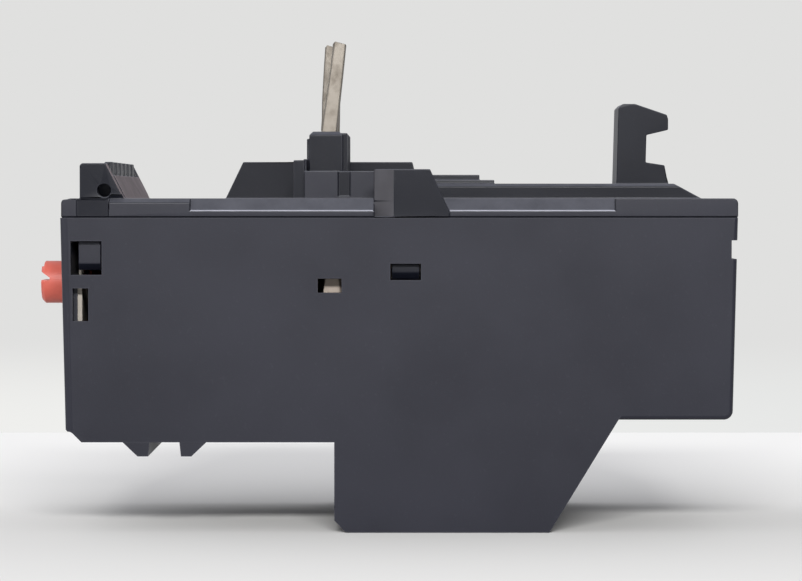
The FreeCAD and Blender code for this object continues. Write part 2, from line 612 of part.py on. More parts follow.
# ---------------------------------------------------------------- top cover
def cover_plate(body):
    """Plate with rounded ends, bevelled sides and the locating skirt."""
    add(body, "top", [rect("-half_width", "half_width", "cover_step - front_y", "rear_y")],
        "part_z", COVER_TOP)
    top = number(COVER_TOP)
    round_edges(body, "cover_round", lambda m, d: abs(d.x) > 0.99 and m.z > top - 0.01)
    for side in (-1, 1):
        corner = [("half_width - bevel - 0.1", f"{COVER_TOP} + 0.1"),
                  ("half_width + 0.1", f"{COVER_TOP} - bevel - 0.1"),
                  ("half_width + 1", f"{COVER_TOP} - bevel - 0.1"),
                  ("half_width + 1", f"{COVER_TOP} + 0.1")]
        cut(body, "front", [[(mirrored(side, x), z) for x, z in corner]],
            "-bevel_front_y", "bevel_rear_y")
    outer = f"({INNER_X} - play)"
    front = f"({PLATE_BACK} + play)"
    rear = f"({INNER_REAR} - play)"
    add(body, "top", [rect(f"-{outer}", outer, front, rear),
                      rect(f"skirt - {outer}", f"{outer} - skirt", f"{front} + skirt",
                           f"{rear} - skirt")], "part_z - skirt_deep", "part_z + 0.5")


def cover_snap(body, side, name, bottom):
    """A snap arm with its lug, reaching down into the window of that name."""
    outer = f"({INNER_X} - play)"
    low, high = between(side, f"{outer} - snap_thick", outer)
    front = f"fit * 2 - {name}_y"
    rear = f"{name}_deep - {name}_y - fit * 2"
    add(body, "side", [rect(front, rear, bottom, "part_z + 0.5")], low, high)
    tip = f"{outer} + snap_lug"
    top = f"{name}_z + {name}_tall - fit"
    lug = [(f"{outer} - 0.5", bottom), (f"{outer} + 0.3", bottom), (tip, f"{bottom} + 0.9"),
           (tip, top), (f"{outer} - 0.5", top)]
    add(body, "front", [[(mirrored(side, x), z) for x, z in lug]], front, rear)


def cover_rear_snaps(body):
    """Two snap arms that reach into the latch windows of the rear wall."""
    inner = f"({INNER_REAR} - fit)"
    bottom = "latch_groove_z + fit"
    for side in (-1, 1):
        low, high = between(side, "10.2", "13.8")
        add(body, "side", [[(f"{inner} - snap_thick", "part_z + 0.5"), (f"{inner} - snap_thick", bottom),
                            (f"{inner} + 0.2", bottom), (f"{inner} + 0.8", f"{bottom} + 0.8"),
                            (f"{inner} + 0.8", f"{bottom} + latch_groove_tall - fit * 2"),
                            (inner, f"{bottom} + latch_groove_tall - fit * 2"),
                            (inner, "part_z + 0.5")]], low, high)


def cover_deck(body):
    """Raised deck, its two steps, the pin block, the towers and the screens."""
    root = f"{COVER_TOP} - 0.5"
    add(body, "side", [[("-deck_front_y", root), ("-deck_front_y", f"{COVER_TOP} + deck_rise"),
                        ("deck_rear_y", f"{COVER_TOP} + deck_rise"),
                        ("deck_rear_y + deck_slope", COVER_TOP), ("deck_rear_y + deck_slope", root)]],
        "-deck_half", "deck_half")
    deck_top = number(f"{COVER_TOP} + deck_rise")
    bevel_edges(body, 0.4, lambda m, d: abs(d.y) > 0.99 and abs(m.z - deck_top) < 0.01)
    for inset, rear, rise in (("0.5", "step_low_y", "step_low_rise"),
                              ("1.0", "step_high_y", "step_high_rise")):
        add(body, "top", [rect(f"{inset} - deck_half", f"deck_half - {inset}", "-deck_front_y", rear)],
            root, f"{COVER_TOP} + {rise}")
    left = "-pin_offset - pin_pitch - tower_half"
    right = "deck_half - 1.5"
    add(body, "top", [rect(left, right, "-deck_front_y", "-block_rear_y")],
        root, f"{COVER_TOP} + block_rise")
    cut(body, "top", [rect("-half_width", "half_width", "-block_groove_y",
                           "block_groove - block_groove_y")],
        f"{COVER_TOP} + deck_rise", f"{COVER_TOP} + block_rise + 1")
    add(body, "top", [rect(left, right, "-deck_front_y - screen_thick", "-deck_front_y")],
        root, f"{COVER_TOP} + screen_rise")
    for pole in POLES:
        middle = f"{pole} * pin_pitch - pin_offset"
        add(body, "top", [rect(f"{middle} - tower_half", f"{middle} + tower_half",
                               "-tower_front_y", "tower_deep - tower_front_y")],
            root, f"{COVER_TOP} + tower_rise")
    tower_top = number(f"{COVER_TOP} + tower_rise")
    bevel_edges(body, 0.5, lambda m, d: abs(m.z - tower_top) < 0.01)
    fence = [("-fence_front_y", root), ("fence_slope - fence_front_y", f"{COVER_TOP} + fence_rise"),
             ("-fence_rear_y - fence_slope_rear", f"{COVER_TOP} + fence_rise"),
             ("-fence_rear_y", root)]
    add(body, "side", [fence], "2 - half_width", "2 - half_width + fence_thick")
    for pole in POLES:
        middle = f"{pole} * pin_pitch - pin_offset"
        cut(body, "top", [rect(f"{middle} - pin_half - fit", f"{middle} + pin_half + fit",
                               "-pin_y - pin_thick / 2 - fit", "pin_thick / 2 - pin_y + fit")],
            "part_z - 1", f"{COVER_TOP} + tower_rise + 1")


def cover_lugs(body):
    """Side lugs with a slanted front facet."""
    root = "part_z + 0.2"
    top = f"{COVER_TOP} + lug_rise"
    outline = [("-lug_front_y", root), ("-lug_front_y", f"{top} - 0.2"), ("0.2 - lug_front_y", top),
               ("lug_top_long - lug_front_y", top), ("lug_long - lug_front_y - 0.1", "part_z + 1.1"),
               ("lug_long - lug_front_y", root)]
    for side in (-1, 1):
        low, high = between(side, "half_width - lug_thick", "half_width")
        add(body, "side", [outline], low, high)
        facet = [("half_width - 1.2", "-lug_front_y - 0.1"), ("half_width", "lug_facet - lug_front_y"),
                 ("half_width + 1", "lug_facet - lug_front_y"), ("half_width + 1", "-lug_front_y - 0.1")]
        cut(body, "top", [[(mirrored(side, x), y) for x, y in facet]], f"{COVER_TOP} - 0.4", f"{top} + 1")


def cover_ridge(body):
    """Front ridge with its grip grooves and the pierced sealing ear."""
    root = f"{COVER_TOP} - 0.5"
    top = f"{COVER_TOP} + ridge_rise"
    add(body, "side", [[("-ridge_front_y", root), ("-ridge_front_y", f"{top} - 0.3"),
                        ("0.3 - ridge_front_y", top), ("ridge_top - ridge_front_y", top),
                        ("ridge_root - ridge_front_y", COVER_TOP), ("ridge_root - ridge_front_y", root)]],
        "-half_width", "half_width")
    inner = "half_width - ear_thick"
    cut(body, "side", [rect("-ridge_front_y - 1", "ridge_root - ridge_front_y + 1", COVER_TOP,
                            f"{top} + 1")], f"{inner} - ear_gap", inner)
    cut(body, "side", [("-seal_y", f"{COVER_TOP} + seal_rise", "seal_hole")],
        f"{inner} - 0.5", "half_width + 1")
    cut(body, "side", [rect("-ridge_front_y - 0.4", "ridge_top - ridge_front_y + 0.3",
                            "part_z - 1", f"{COVER_TOP} - 0.2")], "half_width - 0.25", "half_width + 1")
    groove = cut(body, "top", [rect("1.2 - half_width", "1.7 - half_width",
                                    "ridge_top - ridge_front_y - 0.5",
                                    "ridge_root - ridge_front_y")],
                 f"{top} - 1.6", f"{top} + 1")
    pattern = body.newObject("PartDesign::LinearPattern", "Grooves")
    pattern.Originals = [groove]
    axis = next(f for f in body.Origin.OriginFeatures if f.Role == "X_Axis")
    pattern.Direction = (axis, [""])
    pattern.setExpression("Length", formula("grip_pitch * floor((half_width * 2 - 8) / grip_pitch)"))
    pattern.setExpression("Occurrences", formula("floor((half_width * 2 - 8) / grip_pitch) + 1"))
    body.Tip = pattern


def cover_hook(body):
    """Hook that catches the contactor's underside."""
    base = f"({COVER_TOP} + deck_rise)"
    lip = f"({COVER_TOP} + hook_gap_rise)"
    gap_top = f"({lip} + hook_gap)"
    top = f"({COVER_TOP} + hook_rise)"
    nose = "(hook_y + hook_nose)"
    back = "(hook_y + hook_post)"
    add(body, "side", [[
        ("hook_y - 0.1", f"{base} - 0.5"), ("hook_y + 0.2", f"{top} - 0.6"), ("hook_y + 0.8", top),
        ("hook_y + 2.5", top), (f"{nose} - 0.2", f"{top} - 1.5"), (nose, f"{top} - 2.1"),
        (nose, f"{top} - 3.6"), (back, f"{gap_top} - 0.1"), (f"{back} - 0.1", lip),
        (f"{nose} - 0.5", f"{lip} - 0.4"), (f"{nose} + 0.1", f"{base} - 0.5")]],
        "-hook_half", "hook_half")


def make_cover():
    """Top cover with snaps, deck, pin towers, lugs, ridge and hook."""
    body = new_body("top_cover")
    cover_plate(body)
    for side in (-1, 1):
        cover_snap(body, side, "snap_window", "snap_window_z + fit")
        cover_snap(body, side, "front_window", "front_window_z + 0.6")
    cover_rear_snaps(body)
    cover_deck(body)
    cover_lugs(body)
    cover_ridge(body)
    cover_hook(body)
    cut(body, "top", [rect("2.5 - deck_half", "deck_half - 2.5", "-block_rear_y + 2.6",
                           "deck_rear_y + 0.4")], "part_z - 1", f"{COVER_TOP} + deck_rise - 1.4")


# ---------------------------------------------------------------- current path
def make_line_pin(pole):
    """Bent line pin with its run to the heater and the tab beside the bimetal."""
    body = new_body(f"line_pin_{pole + 2}")
    middle = f"({pole} * pin_pitch - pin_offset)"
    front = "(-pin_y - pin_thick / 2)"
    back = "(pin_thick / 2 - pin_y)"
    tower = f"({COVER_TOP} + tower_rise)"
    lean = f"(pin_lean * {(0.35, 0.7, 1.0)[pole + 1]})"
    add(body, "side", [[(front, "link_z"), (back, "link_z"), (back, tower),
                        (f"{back} + {lean}", "pin_tip_z - 0.4"),
                        (f"{front} + {lean} + 0.3", "pin_tip_z"), (f"{front} + {lean}", "pin_tip_z - 0.3"),
                        (front, tower)]], f"{middle} - pin_half", f"{middle} + pin_half")
    end = f"({pole} * pole_pitch)"
    tab_y = "(support_y - 0.4)"
    add(body, "top", [[
        (f"{middle} - link_half", back), (f"{middle} - link_half", "-12"), (f"{end} - link_half", "-5"),
        (f"{end} - link_half", tab_y), (f"{end} + link_half", tab_y), (f"{end} + link_half", "-5"),
        (f"{middle} + link_half", "-12"), (f"{middle} + link_half", back)]],
        "link_z", "link_z + link_thick")
    add(body, "side", [rect(f"{tab_y} - tab_long", tab_y, "bimetal_z + bimetal_tall / 2",
                            "link_z + 0.1")],
        f"{end} - bimetal_thick / 2 - tab_thick", f"{end} - bimetal_thick / 2")


def make_bimetal(pole):
    """Bimetal strip with the narrow tip that moves both slides."""
    body = new_body(f"bimetal_{pole + 2}")
    shoulder = "tip_long - bimetal_tip_y"
    top = "bimetal_z + bimetal_tall"
    add(body, "side", [[("-bimetal_tip_y", "tip_z"), (shoulder, "tip_z"), (shoulder, "bimetal_z"),
                        ("bimetal_rear_y", "bimetal_z"), ("bimetal_rear_y", top), (shoulder, top),
                        (shoulder, "tip_z + tip_tall"), ("-bimetal_tip_y", "tip_z + tip_tall")]],
        f"{pole} * pole_pitch - bimetal_thick / 2", f"{pole} * pole_pitch + bimetal_thick / 2")


def make_heater(pole):
    """Heater ribbon round a bimetal, joined along its top, with both leads."""
    body = new_body(f"heater_winding_{pole + 2}")
    middle = f"{pole} * pole_pitch"
    low = "(bimetal_z - 0.1 - heater_wire)"
    top = "(bimetal_z + bimetal_tall + 0.1 + heater_wire)"
    outer = rect(f"{middle} - heater_half", f"{middle} + heater_half", low, top)
    inner = rect(f"{middle} - heater_half + heater_wire", f"{middle} + heater_half - heater_wire",
                 f"{low} + heater_wire", f"{top} - heater_wire")
    ring = add(body, "front", [outer, inner], "-heater_front_y", "heater_turn - heater_front_y")
    pattern = body.newObject("PartDesign::LinearPattern", "Turns")
    pattern.Originals = [ring]
    axis = next(f for f in body.Origin.OriginFeatures if f.Role == "Y_Axis")
    pattern.Direction = (axis, [""])
    pattern.setExpression("Length", "Sizes.heater_long")
    pattern.setExpression("Occurrences", "Sizes.heater_turns")
    body.Tip = pattern
    add(body, "front", [rect(f"{middle} - 0.35", f"{middle} + 0.35", f"{top} - heater_wire", top)],
        "0.2 - heater_front_y", "support_y - 1.4")
    add(body, "top", [rect(f"{middle} - 0.6", f"{middle} + 0.6",
                           f"{LOAD_STRIP_Y} + strip_thick + 0.6", f"{LOAD_STRIP_Y} + strip_thick + 2.9")],
        "strip_top_z + strip_thick", f"{low} + 0.4")


def make_bimetal_support():
    """Moulded bar that holds the fixed ends of the bimetals."""
    body = new_body("bimetal_support")
    half = f"({INNER_X} - fit)"
    add(body, "front", [rect(f"-{half}", half, "support_z", "support_z + support_tall")],
        "support_y", "support_y + support_thick")
    for pole in POLES:
        middle = f"{pole} * pole_pitch"
        cut(body, "front", [rect(f"{middle} - bimetal_thick / 2", f"{middle} + bimetal_thick / 2",
                                 "bimetal_z", "bimetal_z + bimetal_tall")],
            "support_y - 1", "bimetal_rear_y")


def make_load_terminal(pole):
    """Load strip, wire clamp and screw of one pole."""
    index = pole + 2
    middle = f"({pole} * pole_pitch)"
    back = f"({LOAD_STRIP_Y} + strip_thick)"
    strip = new_body(f"load_strip_{index}")
    add(strip, "front", [[
        (f"{middle} - 4.5", "floor_wall"), (f"{middle} + 4.5", "floor_wall"), (f"{middle} + 4.5", "11"),
        (f"{middle} + 2.5", "13"), (f"{middle} + 2.5", "strip_top_z + strip_thick"),
        (f"{middle} - 2.5", "strip_top_z + strip_thick"), (f"{middle} - 2.5", "13"),
        (f"{middle} - 4.5", "11")]], LOAD_STRIP_Y, back)
    add(strip, "top", [rect(f"{middle} - 2.5", f"{middle} + 2.5", LOAD_STRIP_Y,
                            f"{LOAD_STRIP_Y} + strip_flange")],
        "strip_top_z", "strip_top_z + strip_thick")
    cut(strip, "front", [(middle, "load_z", "load_shank + 0.05")],
        f"{LOAD_STRIP_Y} - 1", f"{back} + 0.5")
    clamp = new_body(f"load_clamp_{index}")
    add(clamp, "front", [rect(f"{middle} - load_clamp_half", f"{middle} + load_clamp_half",
                              "load_z - load_clamp_rise", "load_z + load_clamp_rise"),
                         (middle, "load_z", "load_shank + fit * 2")],
        LOAD_CLAMP_Y, f"{LOAD_CLAMP_Y} + load_clamp_thick")
    make_screw(f"load_screw_{index}", middle, "load")


def make_screw(label, middle, name):
    """Pan-head screw with a cross slot, made from the sizes that carry the name."""
    body = new_body(label)
    front = f"-{name}_head_y"
    seat = f"({name}_head_thick - {name}_head_y)"
    add(body, "front", [(middle, f"{name}_z", f"{name}_head")], front, seat)
    add(body, "front", [(middle, f"{name}_z", f"{name}_shank")], seat, f"{seat} + {name}_reach")
    arm = f"({name}_head * 0.72)"
    cut(body, "front", [rect(f"{middle} - {arm}", f"{middle} + {arm}", f"{name}_z - 0.4",
                             f"{name}_z + 0.4")], f"{front} - 1", f"{front} + {name}_head_thick * 0.5")
    cut(body, "front", [rect(f"{middle} - 0.4", f"{middle} + 0.4", f"{name}_z - {arm}",
                             f"{name}_z + {arm}")], f"{front} - 1", f"{front} + {name}_head_thick * 0.5")


def make_aux_terminal(index, step):
    """Contact strip, clamp and screw of one auxiliary terminal."""
    middle = f"({step} * aux_pitch)"
    label = ("97", "98", "95", "96")[index]
    post_y = "-no_post_y" if step < 0 else "-nc_post_y"
    strip = new_body(f"aux_strip_{label}")
    add(strip, "front", [rect(f"{middle} - aux_strip_half", f"{middle} + aux_strip_half",
                              FRONT_FLOOR, f"{AUX_RUN_Z} + aux_strip")],
        AUX_STRIP_Y, f"{AUX_STRIP_Y} + aux_strip")
    add(strip, "top", [rect(f"{middle} - aux_post_half", f"{middle} + aux_post_half", AUX_STRIP_Y,
                            f"{post_y} + aux_strip")], AUX_RUN_Z, f"{AUX_RUN_Z} + aux_strip")
    add(strip, "front", [rect(f"{middle} - aux_post_half", f"{middle} + aux_post_half", AUX_RUN_Z,
                              "aux_post_top_z")], post_y, f"{post_y} + aux_strip")
    cut(strip, "front", [(middle, "aux_z", "aux_shank + 0.05")],
        f"{AUX_STRIP_Y} - 1", f"{AUX_STRIP_Y} + aux_strip + 0.5")
    clamp = new_body(f"aux_clamp_{label}")
    add(clamp, "front", [rect(f"{middle} - aux_clamp_half", f"{middle} + aux_clamp_half",
                              "aux_z - aux_clamp_half + 0.2", "aux_z + aux_clamp_half - 0.2"),
                         (middle, "aux_z", "aux_shank + fit * 2")],
        AUX_CLAMP_Y, f"{AUX_CLAMP_Y} + aux_clamp_thick")
    make_screw(f"aux_screw_{label}", middle, "aux")


# ---------------------------------------------------------------- mechanism frame and scale
def make_frame():
    """Angle frame that carries the trip mechanism and guides the shafts."""
    body = new_body("mechanism_frame")
    add(body, "top", [rect("-frame_half", "frame_half", "-frame_front_y", "-frame_rear_y")],
        FRAME_FLOOR, FRAME_TOP)
    add(body, "front", [rect("-frame_half", "frame_half", FRAME_FLOOR, "frame_top_z")],
        "-frame_front_y", FRAME_BACK)
    for step in AUX_STEPS:
        middle = f"{step} * aux_pitch"
        post_y = "-no_post_y" if step < 0 else "-nc_post_y"
        cut(body, "top", [rect(f"{middle} - aux_post_half - 0.2", f"{middle} + aux_post_half + 0.2",
                               f"{post_y} - 0.3", f"{post_y} + aux_strip + 0.3")],
            f"{FRAME_FLOOR} - 1", f"{FRAME_TOP} + 0.5")
    low = "-frame_front_y - 1"
    high = f"{FRAME_BACK} + 0.5"
    cut(body, "front", [("-dial_x", "dial_z", "dial_shaft + fit")], low, high)
    cut(body, "front", [("-reset_x", "dial_z", "reset_shaft + fit")], low, high)
    cut(body, "front", [("stop_x", "stop_z", "reset_shaft + fit")], low, high)
    cut(body, "front", [rect("flag_x - flag_half - play", "flag_x + flag_half + play",
                             "flag_z - play", "flag_z + flag_tall + play")], low, high)
    cut(body, "front", [rect("-arm_x - 2", "-arm_x + 3", "arm_z - play * 2", "frame_top_z + 1")],
        low, high)
    half = f"({INNER_X} - ledge - 0.5)"
    for side in (-1, 1):
        rib_low, rib_high = between(side, f"{half} - 1", half)
        rib_end = "(-no_post_y - contact_gap - carriage_travel - bridge_thick - play * 2)"
        add(body, "side", [[(f"{FRAME_BACK} - 0.5", f"{FRAME_TOP} - 0.5"),
                            (f"{FRAME_BACK} - 0.5", "frame_top_z - 3"), (FRAME_BACK, "frame_top_z - 3"),
                            (rib_end, f"{FRAME_TOP} + 0.5"),
                            (rib_end, f"{FRAME_TOP} - 0.5")]], rib_low, rib_high)


def make_pin(label, x, y, collar_top, top):
    """Pivot pin with the collar that holds its part at the right height."""
    body = new_body(label)
    add(body, "top", [(x, y, "pivot_pin + 0.7")], FRAME_TOP, collar_top)
    add(body, "top", [(x, y, "pivot_pin")], collar_top, top)


def make_scale_plate():
    """Ivory plate behind the front wall, with openings for the controls."""
    body = new_body("legend_plate")
    half = f"({INNER_X} - play)"
    notch = f"({half} - 1.9)"
    add(body, "front", [[(f"-{half}", FRAME_FLOOR), (half, FRAME_FLOOR), (half, "front_window_z - 1"),
                         (notch, "front_window_z - 1"), (notch, "plate_top_z"),
                         (f"-{notch}", "plate_top_z"), (f"-{notch}", "front_window_z - 1"),
                         (f"-{half}", "front_window_z - 1")]], PLATE_FRONT, PLATE_BACK)
    low = f"{PLATE_FRONT} - 0.5"
    high = f"{PLATE_BACK} + 0.5"
    cut(body, "front", [("-dial_x", "dial_z", "dial_face + play")], low, high)
    cut(body, "front", [("-reset_x", "dial_z", "reset_cap + play")], low, high)
    cut(body, "front", [("stop_x", "stop_z", "stop_flange + play")], low, high)
    cut(body, "front", [rect("flag_x - flag_half - play", "flag_x + flag_half + play",
                             "flag_z - play", "flag_z + flag_tall + play")], low, high)


# ---------------------------------------------------------------- controls
def make_dial():
    """Setting dial with its screwdriver slot and shaft."""
    body = new_body("dial")
    front = "-dial_front_y"
    add(body, "front", [("-dial_x", "dial_z", "dial_face")], front, f"{front} + dial_thick")
    add(body, "front", [("-dial_x", "dial_z", "dial_shaft")], f"{front} + dial_thick",
        f"{front} + dial_reach")
    cut(body, "front", [[("-dial_x - 4", "dial_z - 0.6"), ("-dial_x + 3.4", "dial_z - 0.6"),
                         ("-dial_x + 4.6", "dial_z"), ("-dial_x + 3.4", "dial_z + 0.6"),
                         ("-dial_x - 4", "dial_z + 0.6")]], f"{front} - 1", f"{front} + 1.1")


def make_cam():
    """Setting cam: a spiral whose radius grows over three quarters of a turn."""
    body = new_body("dial_cam")
    points = []
    for step in range(24):
        angle = 15 * step
        share = angle / 270 if angle <= 270 else 0
        way = Vector(1, 0, 0)
        way = FreeCAD.Rotation(Vector(0, 0, 1), angle).multVec(way)
        radius = f"(cam_small + cam_rise * {share:.6f})"
        points.append((f"{radius} * ({way.x:.8f}) - dial_x", f"{radius} * ({way.y:.8f}) + dial_z"))
    add(body, "front", [points, ("-dial_x", "dial_z", "dial_shaft")], "-cam_front_y",
        "cam_thick - cam_front_y")


def make_reset():
    """Reset button with its selector slot, on the plunger that it turns in."""
    cap_back = "(reset_cap_long - dial_front_y + 0.1)"
    button = new_body("reset_button")
    add(button, "front", [("-reset_x", "dial_z", "reset_cap")], "0.1 - dial_front_y", cap_back)
    add(button, "front", [("-reset_x", "dial_z", "spigot")], cap_back, f"{cap_back} + spigot_long")
    cut(button, "front", [rect("-reset_x - 1.9", "-reset_x + 1.9", "dial_z - 0.4", "dial_z + 0.4")],
        "-dial_front_y - 1", "1 - dial_front_y")
    plunger = new_body("reset_plunger")
    seat = f"({cap_back} + fit / 2)"
    add(plunger, "front", [("-reset_x", "dial_z", "reset_flange")], seat, f"{seat} + flange_thick")
    add(plunger, "front", [("-reset_x", "dial_z", "reset_shaft")], f"{seat} + flange_thick",
        "-reset_end_y")
    cut(plunger, "front", [("-reset_x", "dial_z", "spigot + fit")], f"{seat} - 1",
        f"{cap_back} + spigot_long + fit * 2")


def make_stop():
    """Stop button: a domed head with a screwdriver notch, its flange and plunger."""
    body = new_body("stop_button")
    front = "-stop_front_y"
    flange = f"({INNER_FRONT} + fit)"
    add(body, "front", [("stop_x", "stop_z", "stop_head")], front, flange)
    add(body, "front", [("stop_x", "stop_z", "stop_flange")], flange, f"{flange} + flange_thick")
    add(body, "front", [("stop_x", "stop_z", "reset_shaft")], f"{flange} + flange_thick",
        "-stop_end_y")
    rim = number(front)
    bevel_edges_round(body, 0.45, lambda m: abs(m.y - rim) < 0.01)
    cut(body, "side", [[(f"{front} - 0.5", "stop_z + 0.05"), (f"{front} + 1.1", "stop_z + 0.2"),
                        (f"{front} + 1.1", "stop_z + 0.6"), (f"{front} - 0.5", "stop_z + 1.9")]],
        "stop_x - stop_head - 1", "stop_x + stop_head + 1")


def bevel_edges_round(body, size, wanted):
    """Chamfers the round edges whose centre the test accepts."""
    doc.recompute()
    names = []
    for index, edge in enumerate(body.Shape.Edges, start=1):
        if hasattr(edge.Curve, "Center") and wanted(edge.Curve.Center):
            names.append(f"Edge{index}")
    base = body.Tip
    chamfer = body.newObject("PartDesign::Chamfer", "Chamfer")
    chamfer.Base = (base, names)
    chamfer.Size = size
    body.Tip = chamfer


def make_spring(label, x, z, front, rear, turns):
    """Compression spring between a flange and the frame's front plate."""
    body = new_body(label)
    sketch = body.newObject("Sketcher::SketchObject", "Sketch")
    origin = next(f for f in body.Origin.OriginFeatures if f.Role == "XY_Plane")
    sketch.AttachmentSupport = (origin, [""])
    sketch.MapMode = "FlatFace"
    sketch.setExpression("AttachmentOffset.Base.x", formula(x))
    sketch.setExpression("AttachmentOffset.Base.y", formula(front))
    sketch.setExpression("AttachmentOffset.Base.z", formula(z))
    flats = ((1, 0), (0, 1), (-1, 0), (0, -1))
    draw_polygon(sketch, [(f"spring_radius + {u} * spring_wire", f"(1 + {v}) * spring_wire")
                          for u, v in flats])
    helix = body.newObject("PartDesign::AdditiveHelix", "Coils")
    helix.Profile = sketch
    helix.ReferenceAxis = (sketch, ["V_Axis"])
    helix.Mode = 2
    helix.setExpression("Height", formula(f"({rear}) - ({front}) - spring_wire * 2"))
    helix.Turns = turns
    return body


def make_springs():
    """Both button springs."""
    frame_front = "-frame_front_y"
    stop_seat = f"{INNER_FRONT} + fit + flange_thick"
    reset_seat = "reset_cap_long - dial_front_y + 0.1 + fit / 2 + flange_thick"
    make_spring("stop_spring", "stop_x", "stop_z", stop_seat, frame_front, 5)
    make_spring("reset_spring", "-reset_x", "dial_z", reset_seat, frame_front, 4)


def make_window():
    """Clear hinged window with its knuckle, pins and finger lip."""
    body = new_body("window_cover")
    add(body, "side", [rect("-pane_front_y", "pane_thick - pane_front_y", "pane_bottom_z",
                            "pane_axis_z")], "-pane_left", "pane_right")
    add(body, "side", [(PANE_AXIS_Y, "pane_axis_z", "pane_thick / 2")], "-pane_left", "pane_right")
    add(body, "side", [(PANE_AXIS_Y, "pane_axis_z", "hinge_pin")],
        "-pane_left - hinge_pin_long", "pane_right + hinge_pin_long")
    add(body, "side", [[("0.1 - pane_front_y", "pane_bottom_z + 0.4"), ("-front_y", "pane_bottom_z + 0.6"),
                        ("-front_y", "pane_bottom_z + 1.0"), ("0.1 - pane_front_y", "pane_bottom_z + 1.6")]],
        "-pane_left / 2 - 4", "-pane_left / 2 + 4")


# ---------------------------------------------------------------- trip mechanism
def slide_comb(label, low, right, slot_low, slot_high):
    """A slide: a spine with teeth between which the bimetal tips lie."""
    body = new_body(label)
    high = f"{low} + slide_tall"
    rear = "slide_spine + slide_teeth - slide_y"
    add(body, "top", [rect("-slide_left", right, "-slide_y", rear)], low, high)
    for pole in POLES:
        middle = f"{pole} * pole_pitch"
        cut(body, "top", [rect(f"{middle} + {slot_low}", f"{middle} + {slot_high}",
                               "slide_spine - slide_y", f"{rear} + 1")], f"{low} - 1", f"{high} + 1")
    return body


def make_slides():
    """Trip slide, differential slide and the lever between them."""
    lower = "(slide_z - slide_space - slide_tall)"
    trip = slide_comb("trip_slider", "slide_z", "slide_right", "(-0.75)", "(slide_slot - 0.65)")
    add(trip, "top", [rect("lever_x + 0.7", "lever_x + 2.2", "-slide_y - 1.4", "0.5 - slide_y")],
        "slide_z", "slide_z + slide_tall")
    stud_top = "(slide_z + slide_tall)"
    add(trip, "top", [("3.5", "-slide_y + 1.5", "0.45")], f"{stud_top} - 0.5", f"{stud_top} + 1.3")
    stop = f"({INNER_X} - differential_travel - play)"
    differ = slide_comb("differential_slider", lower, stop, "(-1.5)", "1.8")
    add(differ, "top", [rect("1.8", "2.8", "-slide_y - 1.8", "0.3 - slide_y")],
        lower, f"{lower} + slide_tall")
    add(differ, "top", [rect("1.8", "2.8", "-slide_y - 1.8", "-slide_y - 0.3")],
        f"{lower} + 0.5", f"{stud_top} + 1.1")
    lever = new_body("differential_lever")
    add(lever, "top", [rect("3.0", "4.0", "-slide_y - 1.7", "-slide_y + 4"),
                       ], f"{stud_top} + 0.2", f"{stud_top} + 0.2 + lever_thick")
    add(lever, "top", [("3.5", "-slide_y + 1.5", "1.1")], f"{stud_top} + 0.2",
        f"{stud_top} + 0.2 + lever_thick")
    cut(lever, "top", [("3.5", "-slide_y + 1.5", "0.55")], stud_top, f"{stud_top} + 2")


def make_trip_lever():
    """Lever that the trip slide turns, with its compensating bimetal."""
    body = new_body("trip_lever")
    high = "(lever_z + lever_tall)"
    add(body, "top", [("lever_x", "-lever_y", "lever_hub")], "lever_z", high)
    add(body, "top", [rect("lever_x", "lever_x + lever_arm + 0.2", "-lever_y - 0.6", "-lever_y + 0.6")],
        "lever_z", "lever_z + 3")
    cut(body, "top", [("lever_x", "-lever_y", "pivot_pin + fit")], "lever_z - 1", f"{high} + 1")
    seat = "-lever_y + lever_hub - 0.5"
    cut(body, "top", [rect("lever_x - compensator / 2", "lever_x + compensator / 2", seat,
                           "-lever_y + lever_hub + 1")], f"{high} - 3.2", f"{high} + 1")
    strip = new_body("compensation_bimetal")
    add(strip, "top", [rect("lever_x - compensator / 2", "lever_x + compensator / 2", seat,
                            "compensator_long - lever_y")], f"{high} - 3.2", high)


def make_setting_arm():
    """Arm that follows the dial's cam and shifts the trip point."""
    body = new_body("setting_arm")
    high = "(arm_z + arm_thick)"
    place = ("-arm_x", "-arm_y")
    add(body, "top", [(*place, "arm_hub")], "arm_z - 3", high)
    reach = "(-cam_front_y)"
    add(body, "top", [[("-arm_x - 0.8", "-arm_y"), ("-arm_x - 0.4", f"{reach}"),
                       ("-arm_x + 0.8", f"{reach}"), ("-arm_x + 0.8", "-arm_y"),
                       ("-arm_x + 0.6", "-arm_y + arm_rear"), ("-arm_x - 0.6", "-arm_y + arm_rear")]],
        "arm_z", high)
    add(body, "top", [rect("-arm_x - 0.4", "-arm_x + 0.8", reach, f"{reach} + cam_thick")],
        "dial_z - 1.4", "arm_z + 0.3")
    cut(body, "top", [(*place, "pivot_pin + fit")], "arm_z - 4", f"{high} + 1")


